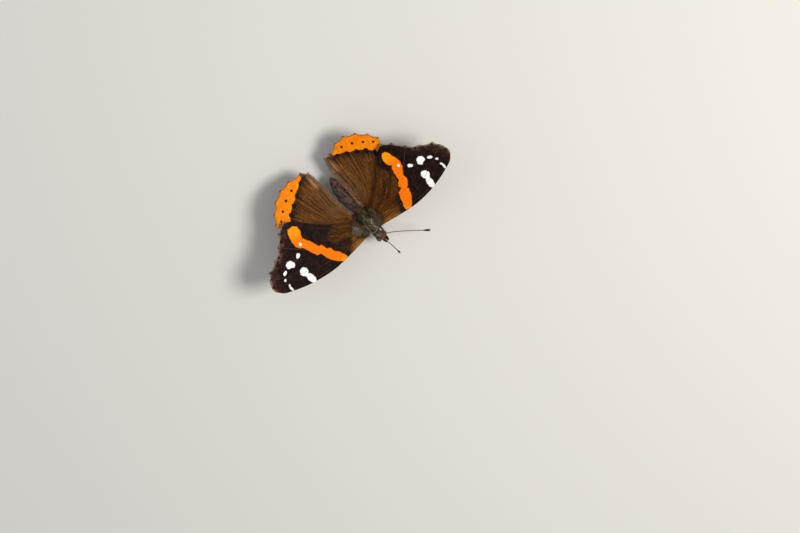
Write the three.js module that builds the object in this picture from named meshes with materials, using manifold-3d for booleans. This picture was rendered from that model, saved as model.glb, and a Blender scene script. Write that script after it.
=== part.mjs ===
// A red admiral butterfly at rest with its wings open, at life size.
// Millimetres. +X is forward (the head), +Y is the insect's left, +Z is up, and the feet stand on z = 0.
// The two wing planes meet in a line over the thorax, the hinge line. Everything is laid out from the point
// of that line above the middle of the thorax, and the finished group is moved so that the middle of its
// underside is the origin.
import * as THREE from 'three';
import { mergeVertices } from 'three/addons/utils/BufferGeometryUtils.js';
import Module from 'manifold-3d';

// Driving dimensions
const HINGE_HEIGHT = 6.0;          // hinge line above the ground
const GAP = 0.3;                   // space left between pieces that touch
const RISE = { left: 12.3, right: 11.2 };        // how far each pair of wings is lifted, degrees
const HIND_SWEEP = { left: 2.0, right: -2.0 };   // hindwings turned backward in their plane, degrees
const HIND_DROP = 1.06;            // hindwing's middle surface below the forewing's
const WING_THICKNESS = 0.5;
const MARGIN_THICKNESS = 0.36;
const ARCH = 0.6;                  // how far a wing bows up at the middle of its span
const SPAN = 34;                   // length over which it bows
const FOLD = 0.7;                  // how far the hindwing's inner edge turns down beside the abdomen
const FOLD_WIDTH = 2.6;
const VEIN_RIDGE = 0.14;           // ridge of a main vein on the upper side, half that below
const WING_ROWS = 13;              // rows of facets from the wing's root to its margin
const SECTION_SIDES = 20;          // facets round the body
const LIMB_SIDES = 8;

// Body stations from back to front: [x, half width, half height, z of the middle, y of the middle]. The
// abdomen lies bent a little to the insect's right.
const ABDOMEN = {
  segments: 9,
  crease: 0.1,
  stations: [[-16.6, 0.4, 0.4, -1.75, 0.05], [-15.9, 0.9, 0.9, -1.65, 0], [-14.5, 1.45, 1.35, -1.5, -0.15],
    [-12.5, 1.8, 1.6, -1.35, -0.4], [-9.5, 1.9, 1.75, -1.2, -0.5], [-7, 1.75, 1.65, -1.05, -0.35],
    [-4.75, 1.35, 1.4, -1.0, -0.1]],
};
const THORAX = [[-4.45, 1.35, 1.45, -0.95, 0], [-4.1, 1.75, 1.9, -0.9, 0], [-2.8, 2.15, 2.4, -0.8, 0],
  [-1.0, 2.4, 2.7, -0.75, 0], [0.8, 2.4, 2.75, -0.75, 0], [2.4, 2.2, 2.45, -0.8, 0],
  [3.7, 1.7, 1.9, -0.9, 0], [4.45, 1.15, 1.25, -1.0, 0]];
const HEAD = [[4.35, 0.95, 1.05, -1.0, 0], [4.9, 1.25, 1.35, -1.0, 0], [6.0, 1.4, 1.5, -1.0, 0],
  [6.9, 1.2, 1.3, -1.05, 0], [7.5, 0.7, 0.8, -1.1, 0]];
const NECK = 4.75;                 // the head, with its eyes and mouth parts, is turned about the neck
const HEAD_TURN = 12;              // how far it is turned to its left, degrees
const EYE = { x: 6.15, y: 1.2, z: -0.8, length: 0.95, width: 0.68, height: 1.05 };

// Each wing column: its root, the point where the vein leaves the cell, how far out that point is as a
// share of the column, its tip on the margin, the bow of the outer stretch, the share from which the vein
// stands up as a ridge (2 where no vein runs), and how far the margin swells before the next tip.
// Wing coordinates are x forward and y outward along the wing.
const FOREWING = [
  { root: [3.3, 1.8], bend: [4.15, 13.5], at: 0.38, tip: [-0.4, 31.0], bow: 0.95, ridge: 0, swell: 0.12 },
  { root: [2.7, 1.8], bend: [3.2, 15.5], at: 0.42, tip: [-1.6, 32.2], bow: 0.9, ridge: 0, swell: 0.3 },
  { root: [2.3, 1.8], bend: [2.1, 17.0], at: 0.46, tip: [-4.0, 32.8], bow: 0.5, ridge: 0.46, swell: 0.12 },
  { root: [1.8, 1.8], bend: [1.1, 17.5], at: 0.47, tip: [-6.1, 31.9], bow: 0.3, ridge: 0.47, swell: -0.15 },
  { root: [1.2, 1.8], bend: [-0.2, 17.7], at: 0.48, tip: [-8.0, 30.7], bow: 0.2, ridge: 0.48, swell: -0.35 },
  { root: [0.6, 1.8], bend: [-1.5, 17.3], at: 0.48, tip: [-9.5, 27.3], bow: 0.1, ridge: 0, swell: -0.5 },
  { root: [0.3, 1.8], bend: [-1.9, 14.5], at: 0.42, tip: [-11.9, 24.0], bow: 0.1, ridge: 0.42, swell: -0.35 },
  { root: [0.0, 1.8], bend: [-1.7, 10.5], at: 0.33, tip: [-14.9, 21.4], bow: 0.1, ridge: 0.33, swell: -0.3 },
  { root: [-0.7, 1.8], bend: [-6.6, 10.3], at: 0.45, tip: [-16.3, 18.9], bow: 0, ridge: 0, swell: 0.1 },
  { root: [-1.4, 1.8], bend: [-7.2, 9.2], at: 0.45, tip: [-15.6, 16.9], bow: 0, ridge: 2, swell: 0 },
];
// The hindwings' corners differ a little from side to side.
const hindwingColumns = (corners) => [
  { root: [-0.6, 1.8], bend: [-2.6, 11.0], at: 0.45, tip: corners.front[0], bow: 0.9, ridge: 2, swell: 0.1 },
  { root: [-1.1, 1.8], bend: [-6.2, 11.5], at: 0.5, tip: corners.front[1], bow: 0.3, ridge: 0, swell: 0 },
  { root: [-1.6, 1.8], bend: [-8.0, 11.3], at: 0.5, tip: [-17.5, 19.8], bow: 0.3, ridge: 0.5, swell: -0.35 },
  { root: [-2.0, 1.8], bend: [-9.1, 10.8], at: 0.5, tip: [-20.2, 18.2], bow: 0.2, ridge: 0.5, swell: -0.4 },
  { root: [-2.4, 1.8], bend: [-9.8, 9.9], at: 0.5, tip: [-22.7, 15.4], bow: 0.2, ridge: 0, swell: -0.4 },
  { root: [-2.7, 1.8], bend: [-9.0, 8.5], at: 0.44, tip: [-24.2, 12.1], bow: 0.2, ridge: 0.44, swell: -0.35 },
  { root: [-3.0, 1.8], bend: [-7.4, 6.2], at: 0.3, tip: corners.back[0], bow: 0.2, ridge: 0.3, swell: -0.5 },
  { root: [-3.5, 1.8], bend: [-10.4, 4.9], at: 0.42, tip: corners.back[1], bow: 0, ridge: 0, swell: 0 },
  { root: [-4.4, 1.8], bend: corners.inner, at: 0.42, tip: corners.back[2], bow: corners.bow, ridge: 2,
    swell: 0 },
];
const HINDWING = {
  left: hindwingColumns({ front: [[-14.9, 18.2], [-16.2, 19.2]],
    back: [[-23.9, 8.6], [-22.3, 5.4], [-21.8, 3.2]], inner: [-11.5, 1.85], bow: -0.7 }),
  right: hindwingColumns({ front: [[-15.3, 18.5], [-16.8, 19.7]],
    back: [[-24.4, 8.6], [-23.8, 4.4], [-21.8, 3.1]], inner: [-11.5, 2.5], bow: -0.3 }),
};

// Limbs: joints from the body outward with the half thickness at each, for the left side. A foot's last
// stretch lies on the ground, its middle GROUND_HALF above it.
const GROUND = -HINGE_HEIGHT;
const GROUND_HALF = 0.22;
const TOE = GROUND + GROUND_HALF;
const FORELEG = [[3.0, 0.8, -2.4, 0.3], [4.2, 1.2, -3.3, 0.28], [5.1, 1.4, -3.3, 0.25],
  [5.6, 1.45, -3.2, 0.2]];
const MIDLEG = [[0.8, 0.9, -2.2, 0.42], [2.2, 5.6, -1.9, 0.36], [1.4, 9.2, TOE + 0.2, 0.28],
  [1.9, 10.2, TOE, 0.26], [2.9, 12.4, TOE, 0.22]];
const HINDLEG = {
  left: [[-2.2, 0.9, -2.2, 0.42], [-5.0, 3.7, -2.1, 0.36], [-11.0, 1.7, TOE + 0.2, 0.28],
    [-12.2, 1.2, TOE, 0.26], [-15.6, -0.6, TOE, 0.22]],
  right: [[-2.2, 0.9, -2.2, 0.42], [-5.0, 3.9, -2.1, 0.36], [-10.6, 3.9, TOE + 0.2, 0.28],
    [-11.8, 3.6, TOE, 0.26], [-15.1, 2.7, TOE, 0.22]],
};
const KNEE_RADIUS = 0.5;           // how softly a limb bends
// Feelers: the left is spread to the side, the right is raised. Their clubs take the last stretch.
const ANTENNA = {
  left: [[6.0, 1.05, 0.1], [5.95, 2.1, 0.75], [6.9, 3.9, 0.95], [9.6, 7.5, 1.0], [13.8, 12.4, 0.4]],
  right: [[6.41, -0.09, 0.1], [7.36, 1.05, 2.5], [8.84, 2.06, 7.0], [10.05, 3.06, 12.2]],
  shaft: 0.25,
  club: 0.42,
  clubLength: 0.14,
};
const PALP = [[7.0, 0.42, -1.45, 0.42], [7.5, 0.5, -1.3, 0.42], [8.05, 0.42, -0.9, 0.3],
  [8.3, 0.36, -0.65, 0.12]];
const PROBOSCIS = { x: 7.15, z: -2.85, inner: 0.3, outer: 0.85, half: 0.26, turns: 1.4 };

const COLOURS = {
  fur: 0x3d3222, abdomen: 0x32271d, eye: 0x3a1a10, forewing: 0x2a1a12, hindwing: 0x5f3a1c,
  feeler: 0x3b2616, leg: 0xb89a72, palp: 0x6b4030,
};

const wasm = await Module();
wasm.setup();

// Closed meshes to solids and back
function meshFrom(points, faces) {
  const geometry = new THREE.BufferGeometry();
  geometry.setAttribute('position', new THREE.Float32BufferAttribute(points.flat(), 3));
  geometry.setIndex(faces.flat());
  return mergeVertices(geometry, 1e-5);
}

function solidOf(geometry) {
  const solid = new wasm.Manifold(new wasm.Mesh({
    numProp: 3,
    vertProperties: new Float32Array(geometry.attributes.position.array),
    triVerts: new Uint32Array(geometry.index.array),
  }));
  if (solid.volume() >= 0) return solid;
  const index = Array.from(geometry.index.array);
  for (let i = 0; i < index.length; i += 3) [index[i], index[i + 1]] = [index[i + 1], index[i]];
  geometry.setIndex(index);
  return solidOf(geometry);
}

function largestBody(solid) {
  const bodies = solid.decompose();
  return bodies.reduce((best, body) => (body.volume() > best.volume() ? body : best), bodies[0]);
}

function geometryOf(solid) {
  const mesh = largestBody(solid).getMesh();
  const geometry = new THREE.BufferGeometry();
  geometry.setAttribute('position', new THREE.BufferAttribute(new Float32Array(mesh.vertProperties), 3));
  geometry.setIndex(Array.from(mesh.triVerts));
  return geometry;
}

// A closed skin over rings of equal count, with a fan of facets over each end
function closeRings(rings) {
  const count = rings[0].length;
  const points = rings.flat();
  const faces = [];
  for (let r = 0; r + 1 < rings.length; r += 1) {
    for (let i = 0; i < count; i += 1) {
      const j = (i + 1) % count;
      const [a, b, c, d] = [r * count + i, r * count + j, (r + 1) * count + j, (r + 1) * count + i];
      faces.push([a, b, c], [a, c, d]);
    }
  }
  for (const [ring, turned] of [[0, true], [rings.length - 1, false]]) {
    const middle = points.length;
    const sum = rings[ring].reduce((s, p) => [s[0] + p[0], s[1] + p[1], s[2] + p[2]], [0, 0, 0]);
    points.push(sum.map((v) => v / count));
    for (let i = 0; i < count; i += 1) {
      const [a, b] = [ring * count + i, ring * count + ((i + 1) % count)];
      faces.push(turned ? [middle, b, a] : [middle, a, b]);
    }
  }
  return meshFrom(points, faces);
}

// Body: elliptical sections across x, read smoothly between the stations and grown by a margin
function sectionAt(stations, x) {
  const curve = new THREE.CatmullRomCurve3(stations.map((s) => new THREE.Vector3(s[1], s[2], s[3])));
  const middles = new THREE.CatmullRomCurve3(stations.map((s) => new THREE.Vector3(s[0], s[4], 0)));
  let i = 0;
  while (i + 2 < stations.length && x > stations[i + 1][0]) i += 1;
  const share = (x - stations[i][0]) / (stations[i + 1][0] - stations[i][0]);
  const place = (i + THREE.MathUtils.clamp(share, 0, 1)) / (stations.length - 1);
  const p = curve.getPoint(place);
  return { half: p.x, height: p.y, z: p.z, y: middles.getPoint(place).y };
}

function bodyPiece(stations, steps, { grow = 0, crease = () => 0 } = {}) {
  const first = stations[0][0];
  const last = stations[stations.length - 1][0];
  const rings = [];
  for (let k = 0; k <= steps; k += 1) {
    const x = first + (last - first) * k / steps;
    const section = sectionAt(stations, x);
    const pinch = crease(k);
    const shifted = x + grow * (2 * k / steps - 1);
    rings.push(Array.from({ length: SECTION_SIDES }, (_, i) => {
      const angle = 2 * Math.PI * i / SECTION_SIDES;
      return [shifted, section.y + (section.half - pinch + grow) * Math.cos(angle),
        section.z + (section.height - pinch + grow) * Math.sin(angle)];
    }));
  }
  return solidOf(closeRings(rings));
}

function abdomenPiece(grow) {
  const steps = ABDOMEN.segments * 2;
  const crease = (k) => (k % 2 === 0 && k > 0 && k < steps ? ABDOMEN.crease : 0);
  return bodyPiece(ABDOMEN.stations, steps, { grow, crease: grow ? () => 0 : crease });
}

function ovalPiece({ x, y, z, length, width, height }, side, grow = 0) {
  const ball = new THREE.SphereGeometry(1, 16, 10);
  ball.deleteAttribute('normal');
  ball.deleteAttribute('uv');
  ball.scale(length + grow, width + grow, height + grow);
  ball.translate(x, y * side, z);
  return solidOf(mergeVertices(ball, 1e-4));
}

// Turns a piece of the head about the neck
function turnHead(solid) {
  return solid.translate([-NECK, 0, 0]).rotate([0, 0, HEAD_TURN]).translate([NECK, 0, 0]);
}

// Limbs: a round section carried along a path whose corners are softened, thickness read between joints
function softPath(joints) {
  const path = new THREE.CurvePath();
  const points = joints.map((j) => new THREE.Vector3(j[0], j[1], j[2]));
  let from = points[0];
  for (let i = 1; i + 1 < points.length; i += 1) {
    const [toLast, toNext] = [points[i - 1], points[i + 1]].map((p) => p.clone().sub(points[i]));
    const radius = Math.min(KNEE_RADIUS, 0.4 * toLast.length(), 0.4 * toNext.length());
    const back = points[i].clone().add(toLast.setLength(radius));
    const on = points[i].clone().add(toNext.setLength(radius));
    path.add(new THREE.LineCurve3(from, back));
    path.add(new THREE.QuadraticBezierCurve3(back, points[i], on));
    from = on;
  }
  path.add(new THREE.LineCurve3(from, points[points.length - 1]));
  return path;
}

function tubePiece(samples, sides, floor = -Infinity) {
  const rings = [];
  let across = new THREE.Vector3(0, 0, 1);
  samples.forEach(({ point }, k) => {
    const before = samples[Math.max(k - 1, 0)].point;
    const after = samples[Math.min(k + 1, samples.length - 1)].point;
    const along = after.clone().sub(before).normalize();
    across = across.clone().sub(along.clone().multiplyScalar(across.dot(along))).normalize();
    const other = along.clone().cross(across);
    rings.push(Array.from({ length: sides }, (_, i) => {
      const angle = 2 * Math.PI * (i + 0.5) / sides;
      const p = point.clone()
        .addScaledVector(across, samples[k].half * Math.cos(angle))
        .addScaledVector(other, samples[k].half * Math.sin(angle));
      return [p.x, p.y, Math.max(p.z, floor)];
    }));
  });
  return solidOf(closeRings(rings));
}

function limbPiece(joints, side) {
  const placed = joints.map((j) => [j[0], j[1] * side, j[2]]);
  const path = softPath(placed);
  const lengths = path.getCurveLengths();
  const total = lengths[lengths.length - 1];
  const jointAt = joints.map((_, i) => (i === 0 ? 0 : i === joints.length - 1 ? 1
    : (lengths[2 * i - 2] + lengths[2 * i - 1]) / 2 / total));
  const stops = [0,
    ...lengths.flatMap((end, i) => (i % 2 === 0 ? [end] : [(end + lengths[i - 1]) / 2, end]))];
  const samples = stops.map((stop) => {
    const share = Math.min(stop / total, 1);
    let i = 0;
    while (i + 2 < jointAt.length && share > jointAt[i + 1]) i += 1;
    const local = (share - jointAt[i]) / (jointAt[i + 1] - jointAt[i]);
    return { point: path.getPoint(share), half: joints[i][3] + (joints[i + 1][3] - joints[i][3]) * local };
  });
  return tubePiece(samples, LIMB_SIDES, GROUND);
}

function feelerPiece(points) {
  const curve = new THREE.CatmullRomCurve3(points.map((p) => new THREE.Vector3(...p)));
  const steps = 14;
  const shares = [...Array.from({ length: steps }, (_, k) => k / steps * (1 - ANTENNA.clubLength)),
    ...[0, 0.25, 0.5, 0.75, 0.92, 1].map((f) => 1 - ANTENNA.clubLength * (1 - f))];
  const samples = shares.map((share) => {
    const out = Math.max(0, (share - 1 + ANTENNA.clubLength) / ANTENNA.clubLength);
    const swell = Math.sin(Math.PI * Math.min(out, 0.62) / 1.24) ** 2;
    const tip = out > 0.75 ? 1 - (out - 0.75) * 2.6 : 1;
    const half = (ANTENNA.shaft + (ANTENNA.club - ANTENNA.shaft) * swell) * tip;
    return { point: curve.getPointAt(share), half };
  });
  return tubePiece(samples, LIMB_SIDES);
}

function coilPiece({ x, z, inner, outer, half, turns }) {
  const steps = 22;
  const samples = Array.from({ length: steps + 1 }, (_, k) => {
    const angle = 2 * Math.PI * turns * k / steps + Math.PI / 2;
    const radius = outer - (outer - inner) * k / steps;
    return {
      point: new THREE.Vector3(x + radius * Math.cos(angle), 0, z + radius * Math.sin(angle)),
      half: half * (1 - 0.35 * k / steps),
    };
  });
  return tubePiece(samples, 6);
}

// Wings: columns run from the root to the margin, close beside each vein so that the vein is a narrow ridge
const COLUMN_SHARES = [0, 0.13, 0.5, 0.87];

function columnPoint(column, s) {
  const { root, bend, at, tip, bow } = column;
  if (s <= at) return [0, 1].map((k) => root[k] + (bend[k] - root[k]) * s / at);
  const share = (s - at) / (1 - at);
  const run = [tip[0] - bend[0], tip[1] - bend[1]];
  const side = bow * 4 * share * (1 - share) / Math.hypot(...run);
  return [bend[0] + run[0] * share + run[1] * side, bend[1] + run[1] * share - run[0] * side];
}

function wingPoint(columns, index, share, s) {
  const here = columns[index];
  const next = columns[Math.min(index + 1, columns.length - 1)];
  const [a, b] = [columnPoint(here, s), columnPoint(next, s)];
  const chord = [next.tip[0] - here.tip[0], next.tip[1] - here.tip[1]];
  const length = Math.hypot(...chord) || 1;
  const out = here.swell * 4 * share * (1 - share) * s ** 8 / length;
  return [a[0] + (b[0] - a[0]) * share + chord[1] * out, a[1] + (b[1] - a[1]) * share - chord[0] * out];
}

function wingPiece(columns, { level, sweep, rise, side, fold }) {
  const shares = columns.flatMap((_, i) => (
    i + 1 < columns.length ? COLUMN_SHARES.map((f) => [i, f]) : [[i, 0]]));
  const [turn, lift] = [sweep, rise].map((angle) => THREE.MathUtils.degToRad(angle));
  const [turnCos, turnSin] = [Math.cos(turn), Math.sin(turn)];
  const [riseCos, riseSin] = [Math.cos(lift), Math.sin(lift)];
  const place = (x, y, normal) => {
    const [u, v] = [x * turnCos - y * turnSin, x * turnSin + y * turnCos];
    const inward = THREE.MathUtils.clamp(1 - (v - 1.8) / FOLD_WIDTH, 0, 1) ** 2;
    const w = level + normal + ARCH * Math.sin(Math.PI * v / SPAN) - fold * inward;
    return [u, side * (v * riseCos - w * riseSin), v * riseSin + w * riseCos];
  };
  const width = shares.length;
  const surface = (sign) => {
    const points = [];
    for (let r = 0; r <= WING_ROWS; r += 1) {
      const s = r / WING_ROWS;
      for (const [index, share] of shares) {
        const [x, y] = wingPoint(columns, index, share, s);
        const onVein = share === 0 && s >= columns[index].ridge - 0.02;
        const half = (s < 1 ? WING_THICKNESS : MARGIN_THICKNESS) / 2;
        const ridge = onVein ? VEIN_RIDGE * (1 - 0.5 * s) * (sign > 0 ? 1 : 0.5) : 0;
        points.push(place(x, y, sign * (half + ridge)));
      }
    }
    return points;
  };
  const points = [...surface(1), ...surface(-1)];
  const under = width * (WING_ROWS + 1);
  const faces = [];
  for (let r = 0; r < WING_ROWS; r += 1) {
    for (let c = 0; c + 1 < width; c += 1) {
      const [a, b, d, e] = [r * width + c, r * width + c + 1, (r + 1) * width + c, (r + 1) * width + c + 1];
      faces.push([a, d, e], [a, e, b], [under + a, under + e, under + d], [under + a, under + b, under + e]);
    }
  }
  const edge = [];
  for (let c = 0; c + 1 < width; c += 1) edge.push(c);
  for (let r = 0; r < WING_ROWS; r += 1) edge.push(r * width + width - 1);
  for (let c = width - 1; c > 0; c -= 1) edge.push(WING_ROWS * width + c);
  for (let r = WING_ROWS; r > 0; r -= 1) edge.push(r * width);
  edge.forEach((a, i) => {
    const b = edge[(i + 1) % edge.length];
    faces.push([a, b, under + b], [a, under + b, under + a]);
  });
  return solidOf(meshFrom(points, faces));
}

// The pieces, each cut clear of what carries it
const model = new THREE.Group();

function addPiece(name, solid, colour, roughness) {
  const material = new THREE.MeshStandardMaterial({ color: colour, roughness, metalness: 0 });
  const mesh = new THREE.Mesh(geometryOf(solid), material);
  mesh.name = name;
  model.add(mesh);
  return mesh;
}

const thorax = bodyPiece(THORAX, 14);
const thoraxRoom = bodyPiece(THORAX, 14, { grow: GAP });
const abdomen = abdomenPiece(0);
const abdomenRoom = abdomenPiece(GAP);
const headRoom = turnHead(bodyPiece(HEAD, 9, { grow: GAP }));
let head = turnHead(bodyPiece(HEAD, 9)).subtract(thoraxRoom);
const SIDES = { left: 1, right: -1 };
const eyeRoom = {};
for (const [name, side] of Object.entries(SIDES)) {
  eyeRoom[name] = turnHead(ovalPiece(EYE, side, GAP));
  head = head.subtract(eyeRoom[name]);
}

addPiece('head', head, COLOURS.fur, 0.9);
addPiece('thorax', thorax, COLOURS.fur, 0.95);
addPiece('abdomen', abdomen, COLOURS.abdomen, 0.9);
addPiece('proboscis', turnHead(coilPiece(PROBOSCIS)).subtract(headRoom), COLOURS.feeler, 0.6);

for (const [name, side] of Object.entries(SIDES)) {
  const feeler = feelerPiece(ANTENNA[name]).subtract(headRoom).subtract(eyeRoom[name]);
  const foreleg = limbPiece(FORELEG, side).subtract(thoraxRoom).subtract(headRoom);
  addPiece(`eye_${name}`, turnHead(ovalPiece(EYE, side)), COLOURS.eye, 0.25);
  addPiece(`antenna_${name}`, feeler, COLOURS.feeler, 0.7);
  addPiece(`palp_${name}`, turnHead(limbPiece(PALP, side)).subtract(headRoom), COLOURS.palp, 0.9);
  addPiece(`foreleg_${name}`, foreleg, COLOURS.leg, 0.8);
  addPiece(`midleg_${name}`, limbPiece(MIDLEG, side).subtract(thoraxRoom), COLOURS.leg, 0.8);
  addPiece(`hindleg_${name}`, limbPiece(HINDLEG[name], side).subtract(thoraxRoom), COLOURS.leg, 0.8);
  const shared = { side, rise: RISE[name] };
  const forewing = wingPiece(FOREWING, { ...shared, level: 0, sweep: 0, fold: 0 });
  const swept = { ...shared, level: -HIND_DROP, sweep: HIND_SWEEP[name], fold: FOLD };
  const hindwing = wingPiece(HINDWING[name], swept);
  addPiece(`forewing_${name}`, forewing.subtract(thoraxRoom), COLOURS.forewing, 0.7);
  addPiece(`hindwing_${name}`, hindwing.subtract(thoraxRoom).subtract(abdomenRoom), COLOURS.hindwing, 0.7);
}

const box = new THREE.Box3().setFromObject(model);
model.position.set(-(box.min.x + box.max.x) / 2, -(box.min.y + box.max.y) / 2, HINGE_HEIGHT);

export default model;
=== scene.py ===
import math
import bpy
import numpy as np
from mathutils import Matrix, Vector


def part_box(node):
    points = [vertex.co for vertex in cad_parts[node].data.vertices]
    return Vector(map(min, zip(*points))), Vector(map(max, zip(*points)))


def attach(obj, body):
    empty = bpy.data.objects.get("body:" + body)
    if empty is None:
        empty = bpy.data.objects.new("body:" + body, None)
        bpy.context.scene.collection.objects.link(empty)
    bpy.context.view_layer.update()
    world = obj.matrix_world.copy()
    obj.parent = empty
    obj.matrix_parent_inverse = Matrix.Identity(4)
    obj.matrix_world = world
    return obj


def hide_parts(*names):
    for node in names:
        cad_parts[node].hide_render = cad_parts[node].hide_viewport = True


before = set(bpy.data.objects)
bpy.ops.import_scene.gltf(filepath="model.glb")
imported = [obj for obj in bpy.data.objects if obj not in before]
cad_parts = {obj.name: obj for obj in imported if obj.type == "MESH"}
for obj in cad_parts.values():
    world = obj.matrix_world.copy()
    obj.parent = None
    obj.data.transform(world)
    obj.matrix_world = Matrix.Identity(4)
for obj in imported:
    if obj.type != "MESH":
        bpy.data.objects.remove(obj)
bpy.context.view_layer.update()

# The camera, the floor and the light.
# A long lens looks down on the wings from a little behind and to the left, so that the body runs down to
# the right in the picture. Lengths below are millimetres from the hinge point, where the two wing planes
# meet above the middle of the thorax, until MM turns them into metres.
MM = 0.001
HINGE_HEIGHT = 6.0
thorax_low, thorax_high = (np.array(corner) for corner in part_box("thorax"))
hinge_point = np.append((thorax_low + thorax_high)[:2] / 2, HINGE_HEIGHT * MM)

PICTURE_WIDTH, PICTURE_HEIGHT = 800, 533
PIXELS_PER_MM = 3.5
HINGE_PIXEL = (367.15, 221.61)
LENS, SENSOR = 300.0, 36.0


def unit(vectors):
    """Vectors scaled to a length of one."""
    return vectors / np.maximum(np.linalg.norm(vectors, axis=-1, keepdims=True), 1e-12)


def looking_from(place, side, up, away):
    """Where a camera or a lamp stands and how it is turned, from its side, up and backward directions."""
    axes = Matrix([list(row) for row in np.array([side, up, away]).T])
    return Matrix.Translation(list(place)) @ axes.to_4x4()


camera_back = unit(np.array([-0.275, 0.1427, 0.9508]))
camera_right = np.array([0.6341, 0.7702, 0.0678])
camera_right = unit(camera_right - camera_back * (camera_right @ camera_back))
camera_up = np.cross(camera_back, camera_right)
picture_middle = (camera_right * (PICTURE_WIDTH / 2 - HINGE_PIXEL[0])
                  - camera_up * (PICTURE_HEIGHT / 2 - HINGE_PIXEL[1])) / PIXELS_PER_MM
distance = LENS / SENSOR * PICTURE_WIDTH / PIXELS_PER_MM
eye_point = hinge_point + (picture_middle + camera_back * distance) * MM

camera_data = bpy.data.cameras.new("camera")
camera_data.lens = LENS
camera_data.sensor_width = SENSOR
camera_data.clip_start = 0.01
camera_data.clip_end = 50
camera = bpy.data.objects.new("camera", camera_data)
camera.matrix_world = looking_from(eye_point, camera_right, camera_up, camera_back)
bpy.context.scene.collection.objects.link(camera)
bpy.context.scene.camera = camera

bpy.context.scene.view_settings.view_transform = "Standard"
world = bpy.data.worlds.new("studio")
world.use_nodes = True
world.node_tree.nodes["Background"].inputs["Color"].default_value = (0.93, 0.95, 1.0, 1.0)
world.node_tree.nodes["Background"].inputs["Strength"].default_value = 0.42
bpy.context.scene.world = world


def lamp(name, place, size, power, colour):
    """A square soft lamp that faces the hinge point from a place given in millimetres."""
    data = bpy.data.lights.new(name, "AREA")
    data.size = size
    data.energy = power
    data.color = colour
    light = bpy.data.objects.new(name, data)
    away = unit(np.array(place))
    side = unit(np.cross([0.0, 0.0, 1.0], away))
    light.matrix_world = looking_from(hinge_point + np.array(place) * MM, side, np.cross(away, side), away)
    bpy.context.scene.collection.objects.link(light)


lamp("key_lamp", (140, 330, 480), 0.22, 3.1, (1.0, 0.97, 0.92))
lamp("fill_lamp", (-420, -260, 330), 0.50, 0.7, (0.93, 0.96, 1.0))

FLOOR_HALF = 1500
floor_mesh = bpy.data.meshes.new("floor")
floor_mesh.from_pydata([(x * FLOOR_HALF * MM, y * FLOOR_HALF * MM, 0) for x, y in
                        ((-1, -1), (1, -1), (1, 1), (-1, 1))], [], [(0, 1, 2, 3)])
floor = bpy.data.objects.new("floor", floor_mesh)
bpy.context.scene.collection.objects.link(floor)
floor_material = bpy.data.materials.new("pale_floor")
floor_material.use_nodes = True
floor_shader = floor_material.node_tree.nodes["Principled BSDF"]
floor_shader.inputs["Base Color"].default_value = (0.66, 0.64, 0.60, 1)
floor_shader.inputs["Roughness"].default_value = 0.85
floor_mesh.materials.append(floor_material)


# Forewings.
# Each is a papery membrane a tenth of a millimetre thick, stiffened by hollow veins that run from the root
# to the margin, and covered with powdery scales. It is laid out flat as columns, one to a vein, then bowed
# and lifted about the hinge line.
RISE = {"left": 12.3, "right": 11.2}
SIDES = {"left": 1, "right": -1}
FORE_PLACING = {name: {"side": side, "rise": RISE[name]} for name, side in SIDES.items()}
ARCH, SPAN = 0.6, 34.0
WING_HALF = 0.05
ROOT_Y = 1.8
# A column: x of the root, bend where the vein leaves the cell, share of the column there, tip, bow, whether
# a vein runs (1) or only the edge (0), and swell of the margin up to the next tip
FOREWING = [
    (3.3, (4.15, 13.5), 0.38, (-0.4, 31.0), 0.95, 1, 0.12),
    (2.7, (3.2, 15.5), 0.42, (-1.6, 32.2), 0.9, 1, 0.3),
    (2.3, (2.1, 17.0), 0.46, (-4.0, 32.8), 0.5, 1, 0.12),
    (1.8, (1.1, 17.5), 0.47, (-6.1, 31.9), 0.3, 1, -0.15),
    (1.2, (-0.2, 17.7), 0.48, (-8.0, 30.7), 0.2, 1, -0.35),
    (0.6, (-1.5, 17.3), 0.48, (-9.5, 27.3), 0.1, 1, -0.5),
    (0.3, (-1.9, 14.5), 0.42, (-11.9, 24.0), 0.1, 1, -0.35),
    (0.0, (-1.7, 10.5), 0.33, (-14.9, 21.4), 0.1, 1, -0.3),
    (-0.7, (-6.6, 10.3), 0.45, (-16.3, 18.9), 0.0, 1, 0.1),
    (-1.4, (-7.2, 9.2), 0.45, (-15.6, 16.9), 0.0, 0, 0.0),
]
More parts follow.
